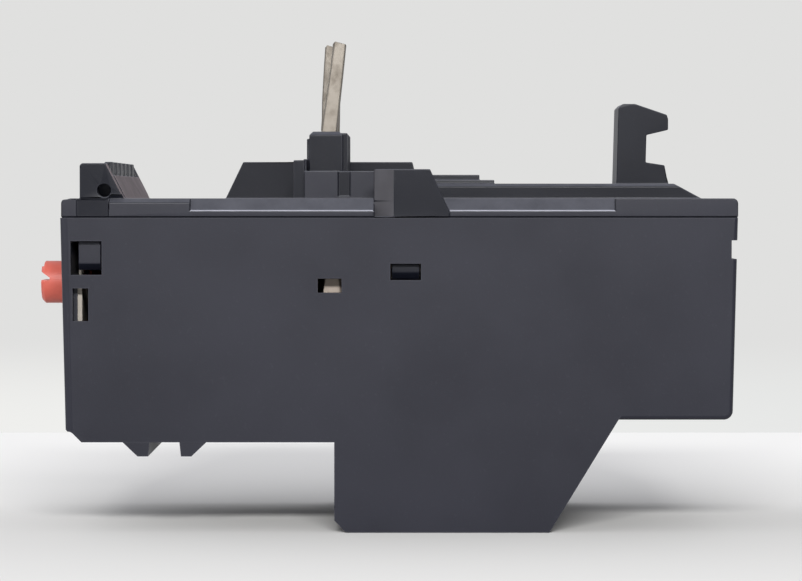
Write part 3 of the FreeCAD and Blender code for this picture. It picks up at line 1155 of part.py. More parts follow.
def make_carriage():
    """Contact carriage with its stems, stop pad and the tongue to the trip lever."""
    body = new_body("contact_carriage")
    low = f"({FRAME_TOP} + play)"
    high = f"({low} + carriage_tall)"
    front = "(-carriage_y)"
    back = "(carriage_deep - carriage_y)"
    add(body, "top", [rect("-carriage_half", "carriage_half", front, back)], low, high)
    relief = "(-lever_y - lever_hub - carriage_travel - play * 2)"
    cut(body, "top", [rect("lever_x - 2.4", "lever_x + 2.4", relief, f"{back} + 1")],
        "lever_z - play", f"{high} + 1")
    nc_back = "(-nc_post_y + aux_strip + contact_gap + bridge_thick)"
    no_back = "(-no_post_y - contact_gap - carriage_travel)"
    add(body, "top", [rect("aux_pitch - stem_half", "aux_pitch + stem_half", nc_back, f"{front} + 0.5")],
        "bridge_z", "bridge_z + bridge_tall")
    add(body, "top", [rect("-aux_pitch - stem_half", "-aux_pitch + stem_half", no_back,
                           f"{front} + 0.5")], "bridge_z", "bridge_z + bridge_tall")
    add(body, "side", [[("-stop_end_y + 2.8", f"{high} + 0.4"), ("-stop_end_y + 2.8", "stop_z + 1.6"),
                        (f"{front} + 1.4", "stop_z + 1.6"), (f"{front} + 1.4", f"{high} - 0.5"),
                        (f"{front} + 0.2", f"{high} - 0.5"), (f"{front} + 0.2", f"{high} + 0.4")]],
        "stop_x - 0.8", "stop_x + 1.2")
    tongue = "(lever_x + 3.6)"
    end = "(-lever_y + 0.6 + play + 1.2)"
    add(body, "side", [[(f"{back} - 0.5", low), (end, low), (end, "lever_z + 2"),
                        (f"{end} - 1.2", "lever_z + 2"), (f"{end} - 1.2", "lever_z - play"),
                        (f"{back} - 0.5", "lever_z - play")]], tongue, f"{tongue} + 1.4")
    nc = new_body("nc_bridge")
    add(nc, "top", [rect("aux_pitch - bridge_half", "aux_pitch + bridge_half",
                         f"{nc_back} - bridge_thick", nc_back)], "bridge_z", "bridge_z + bridge_tall")
    no = new_body("no_bridge")
    add(no, "top", [rect("-aux_pitch - bridge_half", "-aux_pitch + bridge_half",
                         f"{no_back} - bridge_thick", no_back)], "bridge_z", "bridge_z + bridge_tall")
    flag = new_body("trip_flag")
    add(flag, "side", [[("-flag_front_y", "flag_z"), (front, "flag_z"), (front, high), (back, high),
                        (back, "flag_z + flag_tall"), ("-flag_front_y", "flag_z + flag_tall")]],
        "flag_x - flag_half", "flag_x + flag_half")


def main():
    """Builds, checks and writes every sub-part."""
    fill_sheet()
    make_housing()
    make_cover()
    for pole in POLES:
        make_line_pin(pole)
        make_bimetal(pole)
        make_heater(pole)
        make_load_terminal(pole)
    for index, step in enumerate(AUX_STEPS):
        make_aux_terminal(index, step)
    make_bimetal_support()
    make_frame()
    make_pin("lever_pin", "lever_x", "-lever_y", "lever_z - fit", "lever_z + lever_tall + 1")
    make_pin("setting_arm_pin", "-arm_x", "-arm_y", "arm_z - 3 - fit", "arm_z + arm_thick + 0.8")
    make_scale_plate()
    make_dial()
    make_cam()
    make_reset()
    make_stop()
    make_springs()
    make_window()
    make_slides()
    make_trip_lever()
    make_setting_arm()
    make_carriage()
    doc.recompute()
    write_parts()


def write_parts():
    """Stops on any broken object or shape, then writes one file for each sub-part."""
    for item in doc.Objects:
        if {"Invalid", "Error"} & set(item.State):
            raise RuntimeError(f"{item.Name} of {item.Label} is broken: {item.State}")
    os.makedirs("parts", exist_ok=True)
    for body in made:
        shape = body.Shape
        if shape.isNull() or not shape.isValid() or len(shape.Solids) != 1:
            raise RuntimeError(f"{body.Label} has a bad shape with {len(shape.Solids)} solids")
        shape.exportStep(f"parts/{body.Label}.step")
        box = shape.BoundBox
        print(f"{body.Label:24s} {shape.Volume:9.1f} mm3  x {box.XMin:7.2f} {box.XMax:7.2f}"
              f"  y {box.YMin:7.2f} {box.YMax:7.2f}  z {box.ZMin:6.2f} {box.ZMax:6.2f}")


main()
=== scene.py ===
"""Looks of the thermal overload relay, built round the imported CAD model."""
import json
import math

import bmesh
import bpy
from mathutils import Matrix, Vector


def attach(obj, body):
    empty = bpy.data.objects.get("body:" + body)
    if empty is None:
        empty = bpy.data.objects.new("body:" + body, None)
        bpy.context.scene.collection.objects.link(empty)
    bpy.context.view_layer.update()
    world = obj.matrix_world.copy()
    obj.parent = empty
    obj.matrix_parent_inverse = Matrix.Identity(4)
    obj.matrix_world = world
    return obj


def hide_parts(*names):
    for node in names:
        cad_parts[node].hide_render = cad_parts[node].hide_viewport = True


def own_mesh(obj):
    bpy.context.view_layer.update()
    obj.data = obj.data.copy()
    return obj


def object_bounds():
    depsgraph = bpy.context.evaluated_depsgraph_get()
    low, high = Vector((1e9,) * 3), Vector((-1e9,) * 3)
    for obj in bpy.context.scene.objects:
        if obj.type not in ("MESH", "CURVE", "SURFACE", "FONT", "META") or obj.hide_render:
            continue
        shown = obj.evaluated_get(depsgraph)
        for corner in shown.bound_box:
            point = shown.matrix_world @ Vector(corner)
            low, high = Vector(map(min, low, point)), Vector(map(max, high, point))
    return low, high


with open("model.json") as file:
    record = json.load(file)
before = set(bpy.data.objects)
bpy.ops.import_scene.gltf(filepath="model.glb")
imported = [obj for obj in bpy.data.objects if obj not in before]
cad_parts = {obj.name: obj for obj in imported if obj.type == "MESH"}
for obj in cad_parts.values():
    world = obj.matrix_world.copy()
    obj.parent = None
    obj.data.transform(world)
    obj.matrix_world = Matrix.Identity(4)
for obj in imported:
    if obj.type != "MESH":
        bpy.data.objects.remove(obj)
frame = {"nodes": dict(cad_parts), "record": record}
cad_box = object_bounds()

MM = 0.001


# ---------------------------------------------------------------- colours and shader nodes
def ink(code):
    """Linear RGBA of an sRGB hex colour."""
    def channel(value):
        return value / 12.92 if value <= 0.04045 else ((value + 0.055) / 1.055) ** 2.4
    parts = [int(code[i:i + 2], 16) / 255 for i in (1, 3, 5)]
    return (*[channel(p) for p in parts], 1.0)


def add_node(tree, kind, inputs=None, **settings):
    """Adds one shader node with its settings, plain values and links."""
    made = tree.nodes.new(kind)
    for key, value in settings.items():
        setattr(made, key, value)
    for key, value in (inputs or {}).items():
        socket = made.inputs[key]
        if isinstance(value, bpy.types.NodeSocket):
            tree.links.new(value, socket)
        else:
            socket.default_value = value
    return made


def new_material(name):
    """An empty material with its output node."""
    material = bpy.data.materials.new(name)
    material.use_nodes = True
    tree = material.node_tree
    tree.nodes.clear()
    return material, tree, tree.nodes.new("ShaderNodeOutputMaterial")


def noise(tree, place, size_mm, detail, roughness=0.5):
    """Share of a noise texture whose features have about that size, in millimetres."""
    return add_node(tree, "ShaderNodeTexNoise", {
        "Vector": place, "Scale": 1000.0 / size_mm, "Detail": detail,
        "Roughness": roughness}).outputs["Fac"]


def spread(tree, value, low, high, to_low=0.0, to_high=1.0, **settings):
    """Maps the range from low to high onto another range, with nothing beyond its ends."""
    return add_node(tree, "ShaderNodeMapRange", {
        "Value": value, "From Min": low, "From Max": high, "To Min": to_low,
        "To Max": to_high}, **settings).outputs["Result"]


def blend(tree, share, first, second, **settings):
    """Mixes two colours: none of the second at 0, all of it at 1."""
    return add_node(tree, "ShaderNodeMix", {"Factor": share, 6: first, 7: second},
                    data_type="RGBA", **settings).outputs[2]


def calculate(tree, operation, first, second):
    """One sum of two values."""
    return add_node(tree, "ShaderNodeMath", {0: first, 1: second},
                    operation=operation).outputs["Value"]


def relief(tree, height, strength, depth_mm, **sockets):
    """Normal of a bumpy skin whose bumps have that depth, in millimetres."""
    return add_node(tree, "ShaderNodeBump", {
        "Height": height, "Strength": strength, "Distance": depth_mm * MM,
        **sockets}).outputs["Normal"]


def cloudy(tree, share, colour, change, low, high):
    """The colour, darker by a share of itself at the low end and paler at the high end."""
    base = Vector(ink(colour)[:3])
    shade = add_node(tree, "ShaderNodeValToRGB", {"Fac": share})
    for element, place, tone in zip(shade.color_ramp.elements, (low, high),
                                    (1 - change, 1 + change)):
        element.position = place
        element.color = (*(base * tone), 1)
    return shade.outputs["Color"]


def glass_filled_polyamide(name, colour, dust_and_highlight_share, roughness, rub_and_highlight, sheen):
    """Polyamide 6 with glass fibre, moulded in a spark-eroded tool.

    The eye sees a dry, dark surface: a fine even grain, faint cloudiness where the glass comes near
    the skin, edges a little paler from rub and a painted highlight, and a little pale dust with a
    painted highlight on what faces up.
    """
    material, tree, output = new_material(name)
    place = add_node(tree, "ShaderNodeTexCoord").outputs
    # glass clouds of about 14 mm and flecks of about 0.5 mm
    clouds = noise(tree, place["Object"], 14, 4.0, 0.55)
    flecks = noise(tree, place["Object"], 0.5, 3.0, 0.7)
    flecked = blend(tree, spread(tree, flecks, 0.6, 0.85, to_high=0.07),
                    cloudy(tree, clouds, colour, 0.10, 0.32, 0.7), ink("#6d6f78"))
    # pale dust and a painted highlight lie on faces that look up, in patches of about 3 mm
    upward = add_node(tree, "ShaderNodeSeparateXYZ", {"Vector": place["Normal"]}).outputs["Z"]
    patches = noise(tree, place["Object"], 3, 6.0, 0.65)
    dust_and_highlight = calculate(tree, "MULTIPLY", spread(tree, upward, 0.35, 0.75, to_high=dust_and_highlight_share),
                     spread(tree, patches, 0.2, 0.7, to_low=0.6))
    dusted_and_highlit = blend(tree, dust_and_highlight, flecked, ink("#7f8089"))
    # edges within 0.25 mm are a little paler: partly rub, partly a painted highlight
    soft = add_node(tree, "ShaderNodeBevel", {"Radius": 0.25 * MM}, samples=4)
    hard = add_node(tree, "ShaderNodeNewGeometry")
    agree = add_node(tree, "ShaderNodeVectorMath", {
        0: soft.outputs["Normal"], 1: hard.outputs["Normal"]}, operation="DOT_PRODUCT")
    edge = spread(tree, agree.outputs["Value"], 0.995, 0.86, to_high=rub_and_highlight)
    rubbed_and_highlit = blend(tree, edge, dusted_and_highlit, ink("#8e8f99"))
    # spark-eroded grain of about 0.22 mm, drawn a little coarse so that it shows
    grain = noise(tree, place["Object"], 0.22, 2.0)
    waves = relief(tree, noise(tree, place["Object"], 22, 1.0), 0.25, 0.5)
    skin = add_node(tree, "ShaderNodeBsdfPrincipled", {
        "Base Color": rubbed_and_highlit, "IOR": 1.53, "Specular IOR Level": sheen,
        "Roughness": spread(tree, clouds, 0.3, 0.7, roughness - 0.05, roughness + 0.05),
        "Normal": relief(tree, grain, 0.35, 0.02, Normal=waves)})
    tree.links.new(skin.outputs["BSDF"], output.inputs["Surface"])
    return material


def moulded_plastic(name, colour, roughness, cloud=0.08):
    """A small plain moulding: even colour with faint flow clouds and a fine grain of 0.3 mm."""
    material, tree, output = new_material(name)
    place = add_node(tree, "ShaderNodeTexCoord").outputs["Object"]
    skin = add_node(tree, "ShaderNodeBsdfPrincipled", {
        "Base Color": cloudy(tree, noise(tree, place, 2.5, 3.0), colour, cloud, 0.35, 0.65),
        "Roughness": roughness, "IOR": 1.5,
        "Normal": relief(tree, noise(tree, place, 0.3, 2.0), 0.2, 0.015)})
    tree.links.new(skin.outputs["BSDF"], output.inputs["Surface"])
    return material


def plated_metal(name, colour, tarnish, roughness, along):
    """Rolled or drawn metal under a thin plating: fine lines along one axis and dull clouds."""
    material, tree, output = new_material(name)
    place = add_node(tree, "ShaderNodeTexCoord").outputs["Object"]
    stretch = [0.06 if axis == along else 1.0 for axis in range(3)]
    drawn = add_node(tree, "ShaderNodeMapping", {"Vector": place, "Scale": stretch})
    lines = noise(tree, drawn.outputs["Vector"], 0.12, 3.0)
    clouds = noise(tree, place, 1.6, 5.0, 0.6)
    skin = add_node(tree, "ShaderNodeBsdfPrincipled", {
        "Base Color": blend(tree, spread(tree, clouds, 0.42, 0.72), ink(colour), ink(tarnish)),
        "Metallic": 1.0,
        "Roughness": spread(tree, clouds, 0.3, 0.7, roughness * 0.8, roughness * 1.25),
        "Normal": relief(tree, lines, 0.3, 0.01)})
    tree.links.new(skin.outputs["BSDF"], output.inputs["Surface"])
    return material


def clear_polycarbonate(name):
    """Clear polycarbonate, moulded: nearly colourless, with faint hazy scuffs."""
    material, tree, output = new_material(name)
    place = add_node(tree, "ShaderNodeTexCoord").outputs["Object"]
    haze = spread(tree, noise(tree, place, 1.2, 6.0, 0.7), 0.45, 0.8, 0.02, 0.12)
    skin = add_node(tree, "ShaderNodeBsdfPrincipled", {
        "Base Color": ink("#eef3f3"), "Roughness": haze, "IOR": 1.585,
        "Transmission Weight": 1.0})
    tree.links.new(skin.outputs["BSDF"], output.inputs["Surface"])
    return material


HOUSING = glass_filled_polyamide("glass_filled_polyamide_housing_spark_eroded", "#1b1c27",
                                 dust_and_highlight_share=0.06, roughness=0.44, rub_and_highlight=0.07, sheen=0.31)
COVER = glass_filled_polyamide("glass_filled_polyamide_cover_spark_eroded", "#11131c",
                               dust_and_highlight_share=0.36, roughness=0.38, rub_and_highlight=0.10, sheen=0.21)
RED = moulded_plastic("abs_red_button_moulded", "#c4594a", 0.45)
BLUE = moulded_plastic("abs_blue_reset_moulded", "#1f4f9c", 0.4)
WHITE = moulded_plastic("pbt_white_dial_moulded", "#dcdcd6", 0.38)
IVORY = moulded_plastic("polycarbonate_ivory_scale_moulded", "#9d968c", 0.5)
CREAM = moulded_plastic("pbt_cream_slide_moulded", "#a3968a", 0.55)
ORANGE = moulded_plastic("abs_orange_flag_moulded", "#dd6a1c", 0.42)
BROWN = moulded_plastic("phenolic_brown_frame_moulded", "#43291d", 0.55, cloud=0.2)
DUSTY = moulded_plastic("polyamide_cover_dust_laden", "#73696c", 0.85, cloud=0.15)
# painted highlight for the long upper edge of the cover
EDGE_HIGHLIGHT = moulded_plastic("polyamide_edge_painted_highlight", "#8b8c97", 0.32)
# painted light for the slanted facets of the side lugs, paler than the cover's plastic
PAINTED_LIGHT = moulded_plastic("polyamide_cover_painted_light", "#38373c", 0.6, cloud=0.12)
PRINT = moulded_plastic("pad_print_black", "#1b1b1c", 0.6)
TIN = plated_metal("copper_tin_plated_rolled", "#837d75", "#787168", 0.5, 2)
TIN_STRIP = plated_metal("copper_tin_plated_strip", "#c4bcb2", "#a2988e", 0.38, 2)
NICKEL = plated_metal("brass_nickel_plated_strip", "#c8c0a6", "#a79c80", 0.34, 1)
ZINC = plated_metal("steel_zinc_plated_turned", "#bfc1c0", "#9c9f9c", 0.33, 1)
SPRING = plated_metal("spring_steel_drawn_wire", "#8f9092", "#6f7072", 0.3, 1)
BIMETAL = plated_metal("nickel_iron_bimetal_rolled", "#a39a8c", "#857a6c", 0.4, 1)
HEATER = plated_metal("heater_alloy_ribbon_rolled", "#7a7672", "#5d5650", 0.45, 0)
SILVER = plated_metal("silver_contact_bridge_stamped", "#d5d3cd", "#b2afa6", 0.3, 0)
CLEAR = clear_polycarbonate("polycarbonate_clear_window_moulded")


# ---------------------------------------------------------------- modelling helpers
def deselect():
    """Leaves nothing selected."""
    if bpy.context.mode != "OBJECT":
        bpy.ops.object.mode_set(mode="OBJECT")
    bpy.ops.object.select_all(action="DESELECT")


def take(piece):
    """Makes one object the only selected and active one."""
    deselect()
    piece.select_set(True)
    bpy.context.view_layer.objects.active = piece


def apply_place(piece):
    """Moves the object's place, turn and scale into its mesh."""
    take(piece)
    bpy.ops.object.transform_apply(location=True, rotation=True, scale=True)


def modify(piece, kind, **settings):
    """Adds one modifier and applies it."""
    take(piece)
    modifier = piece.modifiers.new(kind.lower(), kind)
    for key, value in settings.items():
        setattr(modifier, key, value)
    bpy.ops.object.modifier_apply(modifier=modifier.name)


def box_piece(name, low, high):
    """A box between two corners in millimetres, as a start for edit mode."""
    deselect()
    low, high = Vector(low) * MM, Vector(high) * MM
    bpy.ops.mesh.primitive_cube_add(size=1, location=(low + high) / 2)
    piece = bpy.context.active_object
    piece.scale = high - low
    piece.name = name
    apply_place(piece)
    return piece


def edit(piece, mode="FACE"):
    """Opens a piece in edit mode with nothing selected."""
    take(piece)
    bpy.ops.object.mode_set(mode="EDIT")
    bpy.ops.mesh.select_mode(type=mode)
    bpy.ops.mesh.select_all(action="DESELECT")
    return bmesh.from_edit_mesh(piece.data)


def pick(piece, test, kind="faces"):
    """Selects the faces, edges or corners that pass the test.

    The test gets the item's middle, in millimetres, and its normal, or an edge's direction.
    """
    mesh = bmesh.from_edit_mesh(piece.data)
    for item in getattr(mesh, kind):
        if kind == "faces":
            middle = item.calc_center_median() / MM
            chosen = test(middle, item.normal)
        elif kind == "edges":
            middle = (item.verts[0].co + item.verts[1].co) / 2 / MM
            chosen = test(middle, (item.verts[1].co - item.verts[0].co).normalized())
        else:
            chosen = test(item.co / MM, item.normal)
        item.select_set(bool(chosen))
    mesh.select_flush_mode()
    bmesh.update_edit_mesh(piece.data)


def shift(x, y, z):
    """Moves what is selected in edit mode, in millimetres."""
    bpy.ops.transform.translate(value=(x * MM, y * MM, z * MM))


def leave():
    """Back to object mode."""
    bpy.ops.object.mode_set(mode="OBJECT")


def outward(piece):
    """Merges doubled corners and turns every face outward."""
    edit(piece)
    bpy.ops.mesh.select_all(action="SELECT")
    bpy.ops.mesh.remove_doubles(threshold=1e-7)
    bpy.ops.mesh.normals_make_consistent(inside=False)
    leave()


def finish_piece(piece, body, material, nodes=(), smooth=35):
    """Gives a piece its body, slot, material and smooth shading, unless smooth is 0."""
    take(piece)
    if smooth:
        bpy.ops.object.shade_smooth_by_angle(angle=math.radians(smooth))
    piece.data.materials.clear()
    piece.data.materials.append(material)
    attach(piece, body)
    if nodes:
        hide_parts(*nodes)
    return piece


def work(piece, tool, operation="DIFFERENCE"):
    """Cuts a tool piece out of another, or joins it on, and puts the tool away."""
    modify(piece, "BOOLEAN", object=tool, operation=operation, solver="EXACT")
    bpy.data.objects.remove(tool)


def block(piece, low, high, operation="DIFFERENCE"):
    """Cuts a box out of a piece or joins it on, between two corners in millimetres."""
    work(piece, box_piece("block", low, high), operation)


def merged(piece, distance):
    """Merges doubled corners of a piece and dissolves the seams in its flat faces."""
    edit(piece)
    bpy.ops.mesh.select_all(action="SELECT")
    bpy.ops.mesh.remove_doubles(threshold=distance)
    bpy.ops.mesh.dissolve_limited(angle_limit=math.radians(0.6))
    leave()


def keep_inside(piece):
    """Presses corners that a soft edge pushed past the part's own box back onto its faces."""
    slack = 1e-7
    for axis in range(3):
        for side, corner in ((-1, cad_box[0]), (1, cad_box[1])):
            limit = corner[axis]
            if all(side * (v.co[axis] - limit) <= slack for v in piece.data.vertices):
                continue
            edit(piece, "VERT")
            pick(piece, lambda co, n: side * (co[axis] * MM - limit) > slack, "verts")
            bpy.ops.transform.resize(
                value=[float(i != axis) for i in range(3)],
                center_override=[limit if i == axis else 0.0 for i in range(3)])
            leave()


def softened(node, name, width_mm, body, material, segments=3, angle=16, shape=None,
             cut=False, clamp=True):
    """A merged copy of a CAD node whose sharp edges get the small radius of the real piece.

    shape is a function that works on the copy first. cut says that it works with booleans, which
    leave long faces that have to be cut into triangles before their edges are rounded.
    """
    source = frame["nodes"][node]
    piece = bpy.data.objects.new(name, source.data.copy())
    bpy.context.scene.collection.objects.link(piece)
    merged(piece, 1e-6)
    if shape:
        shape(piece)
    if cut:
        merged(piece, 2e-6)
        modify(piece, "TRIANGULATE", ngon_method="BEAUTY", quad_method="BEAUTY")
    modify(piece, "BEVEL", width=width_mm * MM, segments=segments, limit_method="ANGLE",
           angle_limit=math.radians(angle), use_clamp_overlap=clamp, loop_slide=not cut,
           miter_outer="MITER_SHARP" if cut else "MITER_ARC")
    keep_inside(piece)
    bpy.ops.object.shade_smooth_by_angle(angle=math.radians(24))
    modify(piece, "WEIGHTED_NORMAL", weight=100, keep_sharp=True)
    return finish_piece(piece, body, material, (node,), smooth=0)


def body_of(node):
    """The body that carries a CAD node."""
    for body, names in frame["record"]["behaviour"]["bodies"].items():
        if node in names:
            return body
    raise KeyError(node)


SLOT_OF = {entry["node"]: entry["material_slot"] for entry in frame["record"]["subparts"]}

PAINT = {
    "housing_plastic": HOUSING, "cover_plastic": COVER, "ivory_plastic": IVORY,
    "cream_plastic": CREAM, "brown_plastic": BROWN, "red_plastic": RED, "blue_plastic": BLUE,
    "white_plastic": WHITE, "orange_plastic": ORANGE, "clear_plastic": CLEAR,
    "tinned_copper": TIN_STRIP, "plated_brass": NICKEL, "plated_steel": ZINC,
    "spring_steel": SPRING, "bimetal_strip": BIMETAL, "heater_alloy": HEATER,
    "contact_silver": SILVER}


def paint_the_rest(left_out):
    """Gives each CAD node that stays its material."""
    for name, node in frame["nodes"].items():
        if name not in left_out:
            node.data.materials.clear()
            node.data.materials.append(PAINT[SLOT_OF[name]])


# ---------------------------------------------------------------- the two big mouldings
# places in millimetres
PARTING_Z = 42.0          # joint between housing and cover
GROOVE_TOP_Z = 42.24      # upper side of the groove along the joint
DECK_ROOT_Z = 44.0        # inside the deck, where added forms start
POLES_X = (-16.5, -5.5, 5.5)
LUG_FRONT_Y = -9.1        # front of the side lugs
STRIP_X = 22.34           # face of the side strips
CHAMFER = 0.42            # half the side of the bar that cuts the chamfer on the strips
RIDGE_STEP_Y = -44.95     # where the top of the ridge steps down
TEETH = 6
TOOTH_PITCH = 6.4
SEAL_HOLE_YZ = (-45.03, 45.76)


def repaint(piece, material, test):
    """Gives the faces that pass the test a further material."""
    piece.data.materials.append(material)
    edit(piece)
    pick(piece, test)
    piece.active_material_index = len(piece.data.materials) - 1
    bpy.ops.object.material_slot_assign()
    leave()


def bore(piece, y, z, radius, low, high):
    """Bores a round hole along X between two places, in millimetres."""
    deselect()
    bpy.ops.mesh.primitive_cylinder_add(
        vertices=40, radius=radius * MM, depth=(high - low) * MM,
        location=((low + high) / 2 * MM, y * MM, z * MM), rotation=(0, math.pi / 2, 0))
    tool = bpy.context.active_object
    apply_place(tool)
    work(piece, tool)


def forward(piece, front, move):
    """Moves all corners in front of a place forward, in millimetres."""
    edit(piece)
    pick(piece, lambda co, n: co.y < front, "verts")
    shift(0, -move, 0)
    leave()


def parting_groove(cover):
    """Steps the lower edge of the cover back all round, so that the joint shows as a dark line."""
    rim = box_piece("rim", (-23, -51, PARTING_Z), (23, 40, GROOVE_TOP_Z))
    work(rim, box_piece("core", (-22.1, -50.7, 41.9), (22.1, 39.4, 42.4)))
    work(cover, rim)


def pin_block(cover):
    """Block round the pin towers, flush with the deck, with its shallow groove and its ribs."""
    block(cover, (12.5, -18.6, DECK_ROOT_Z), (14.5, -8.6, 48.4), "UNION")
    block(cover, (13.7, -14.0, 45.0), (15, -12.4, 49.5))
    for middle in POLES_X:
        low, high = middle - 1.7, middle + 1.7
        block(cover, (low, -18.45, DECK_ROOT_Z), (high, -17.5, 52.9), "UNION")
        block(cover, (low, -14.0, DECK_ROOT_Z), (high, -12.85, 53.7), "UNION")
        # the slot for the pin goes through again
        block(cover, (middle - 1.5, -16.2, 43.0), (middle + 1.5, -14.2, 56.0))
    block(cover, (-19.1, -18.7, DECK_ROOT_Z), (12.95, -18.3, 50.05), "UNION")


def lug_facets(cover):
    """Runs the slanted facet of each side lug down to the joint."""
    for side in (-1, 1):
        low, high = sorted((side * 21.3, side * 23.5))
        wedge = box_piece("wedge", (low, LUG_FRONT_Y, GROOVE_TOP_Z), (high, -6.4, 44.35))
        edit(wedge)
        pick(wedge, lambda co, n: co.y > -7 and abs(co.x) < 22, "verts")
        shift(side * 1.2, 0, 0)
        leave()
        work(cover, wedge)


def ridge_grip(cover):
    """Stepped grip along the top of the front ridge, with coarse teeth."""
    block(cover, (-20.5, RIDGE_STEP_Y, 47.8), (18.5, -42.0, 50.5))
    block(cover, (-20.5, -46.0, 47.0), (18.1, RIDGE_STEP_Y, 49.4), "UNION")
    for step in range(TEETH):
        left = -17.5 + step * TOOTH_PITCH
        block(cover, (left, -45.4, 47.6), (left + TOOTH_PITCH / 2, -44.35, 49.62), "UNION")


def side_strips(cover):
    """Sets the side strips back before and behind the lugs, with a narrow chamfer on top."""
    for side in (-1, 1):
        low, high = sorted((side * STRIP_X, side * 23.5))
        block(cover, (low, -52, PARTING_Z), (high, LUG_FRONT_Y, 44.75))
        block(cover, (low, 1.0, PARTING_Z), (high, 41, 44.75))
        tool = box_piece("chamfer", (-CHAMFER, -44.4, -CHAMFER), (CHAMFER, -33.5, CHAMFER))
        tool.rotation_euler = (0, math.radians(45), 0)
        tool.location = (side * STRIP_X * MM, 0, 44.7 * MM)
        apply_place(tool)
        work(cover, tool)


def cover_details(piece):
    """All that wear and the real mould add to the cover."""
    forward(piece, -49.9, 0.6)
    parting_groove(piece)
    pin_block(piece)
    lug_facets(piece)
    ridge_grip(piece)
    bore(piece, *SEAL_HOLE_YZ, 0.9, 19.0, 23.5)
    side_strips(piece)


def housing_details(piece):
    """Brings the front wall forward and widens the upper window in each side."""
    # the front wall leans: its foot stands further back than its top
    edit(piece, "VERT")
    pick(piece, lambda co, n: co.y < -50.1 + (42.1 - co.z) * 0.0167, "verts")
    shift(0, -0.45, 0)
    leave()
    edit(piece)
    pick(piece, lambda co, n: abs(co.x) > 19.5 and -49.4 < co.y < -48.3
         and 33.5 < co.z < 40, "verts")
    shift(0, -0.75, 0)
    leave()


def cover_dust_and_painted_light(cover):
    """Dust, and painted light and highlight, on single faces of the cover."""
    # dust on the slope of the front ridge
    repaint(cover, DUSTY, lambda m, n: n.y > 0.5 and n.z > 0.2
            and -44.3 < m.y < -42.2 and 44.7 < m.z < 48.15)
    # painted light: side strips, pin block end and arms in the upper side windows, made paler
    repaint(cover, HOUSING, lambda m, n: abs(n.x) > 0.985 and (
        22.3 < abs(m.x) < 22.4 and m.z < 44.6
        or 14.4 < m.x < 14.6 and -18.7 < m.y < -8.5 and m.z > 44.6))
    repaint(cover, HOUSING, lambda m, n: abs(n.x) > 0.9 and 19.5 < abs(m.x) < 21.9
            and -50 < m.y < -44 and 33 < m.z < 41)
    # painted highlight along the long upper edge
    repaint(cover, EDGE_HIGHLIGHT, lambda m, n: 0.75 < abs(n.x) < 0.985 and abs(n.y) < 0.1
            and abs(m.x) > 22.0 and -33.5 < m.y < 23 and 42.5 < m.z < 44.2)
    # painted light on the slanted facets of the lugs
    repaint(cover, PAINTED_LIGHT, lambda m, n: 0.8 < abs(n.x) < 0.97 and n.y < -0.3
            and abs(m.x) > 21 and -9.2 < m.y < -6.3)


def housing_and_cover():
    """Lower housing and upper cover with the small radii of the real mouldings."""
    softened("housing", "housing_shell", 0.14, "base", HOUSING,
             shape=housing_details)
    cover = softened("top_cover", "cover_shell", 0.14, "base", COVER,
                     shape=cover_details, cut=True, clamp=False)
    cover_dust_and_painted_light(cover)
    return ["housing", "top_cover"]


# ---------------------------------------------------------------- small controls
def stop_details(piece):
    """Worn notch and set-back upper rim of the stop button."""
    forward(piece, -54.5, -0.2)
    block(piece, (4, -55.5, 35.35), (12, -54.47, 37))
    block(piece, (5.35, -54.75, 33.0), (10.65, -53.95, 33.5), "UNION")
    wedge = box_piece("wedge", (4, -55.3, 33.5), (12, -53.6, 33.85))
    edit(wedge)
    pick(wedge, lambda co, n: co.y < -55 and co.z > 33.7, "verts")
    shift(0, 0, 1.15)
    leave()
    work(piece, wedge)


def springs():
    """Return springs of the two buttons."""
    # node, joint, middle in X and Z, and the share of its length that is left at full travel
    rows = (("stop_spring", "stop_press", (8.0, 33.2), 0.742),
            ("reset_spring", "reset_press", (-1.5, 32.8), 0.65))
    for node, joint, middle, keep in rows:
        piece = bpy.data.objects.new(node + "_wire", frame["nodes"][node].data.copy())
        bpy.context.scene.collection.objects.link(piece)
        outward(piece)
        modify(piece, "SUBSURF", levels=1)
        finish_piece(piece, "base", SPRING, (node,), smooth=60)
        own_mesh(piece)
    return ["stop_spring", "reset_spring"]


def controls():
    """Stop button, reset button, dial and window."""
    softened("stop_button", "stop_button_cap", 0.22, "stop", RED,
             shape=stop_details, cut=True)
    softened("reset_button", "reset_button_cap", 0.15, body_of("reset_button"),
             BLUE)
    softened("dial", "setting_dial", 0.12, "dial", WHITE)
    softened("window_cover", "window_pane", 0.12, "window", CLEAR)
    return ["stop_button", "reset_button", "dial", "window_cover"]


def bent_pin(steps, seed):
    """Shape of a pin that was bent by hand: steps are heights and moves in millimetres."""
    def shape(piece):
        edit(piece)
        for height, _ in steps:
            bpy.ops.mesh.select_all(action="SELECT")
            bpy.ops.mesh.bisect(plane_co=(0, 0, height * MM), plane_no=(0, 0, 1))
        for height, move in steps:
            pick(piece, lambda co, n: co.z > height - 0.01, "verts")
            shift(0, move, 0)
        # the pin widens towards its root
        for low, high, move in ((53.5, 54.6, -0.36), (55.5, 58.2, -0.24), (59.0, 61.2, -0.1)):
            pick(piece, lambda co, n: low < co.z < high and n.y < -0.1, "verts")
            shift(0, move, 0)
        # its long edges are rounded, and its tip is ragged where it was shorn
        pick(piece, lambda m, d: abs(d.z) > 0.9 and m.z > 53.5, "edges")
        bpy.ops.mesh.bevel(offset=0.26 * MM, segments=2, affect="EDGES")
        pick(piece, lambda m, n: m.z > 65.3 and n.z > 0.2)
        bpy.ops.transform.vertex_random(offset=0.05 * MM, uniform=0.3, seed=seed)
        leave()
    return shape


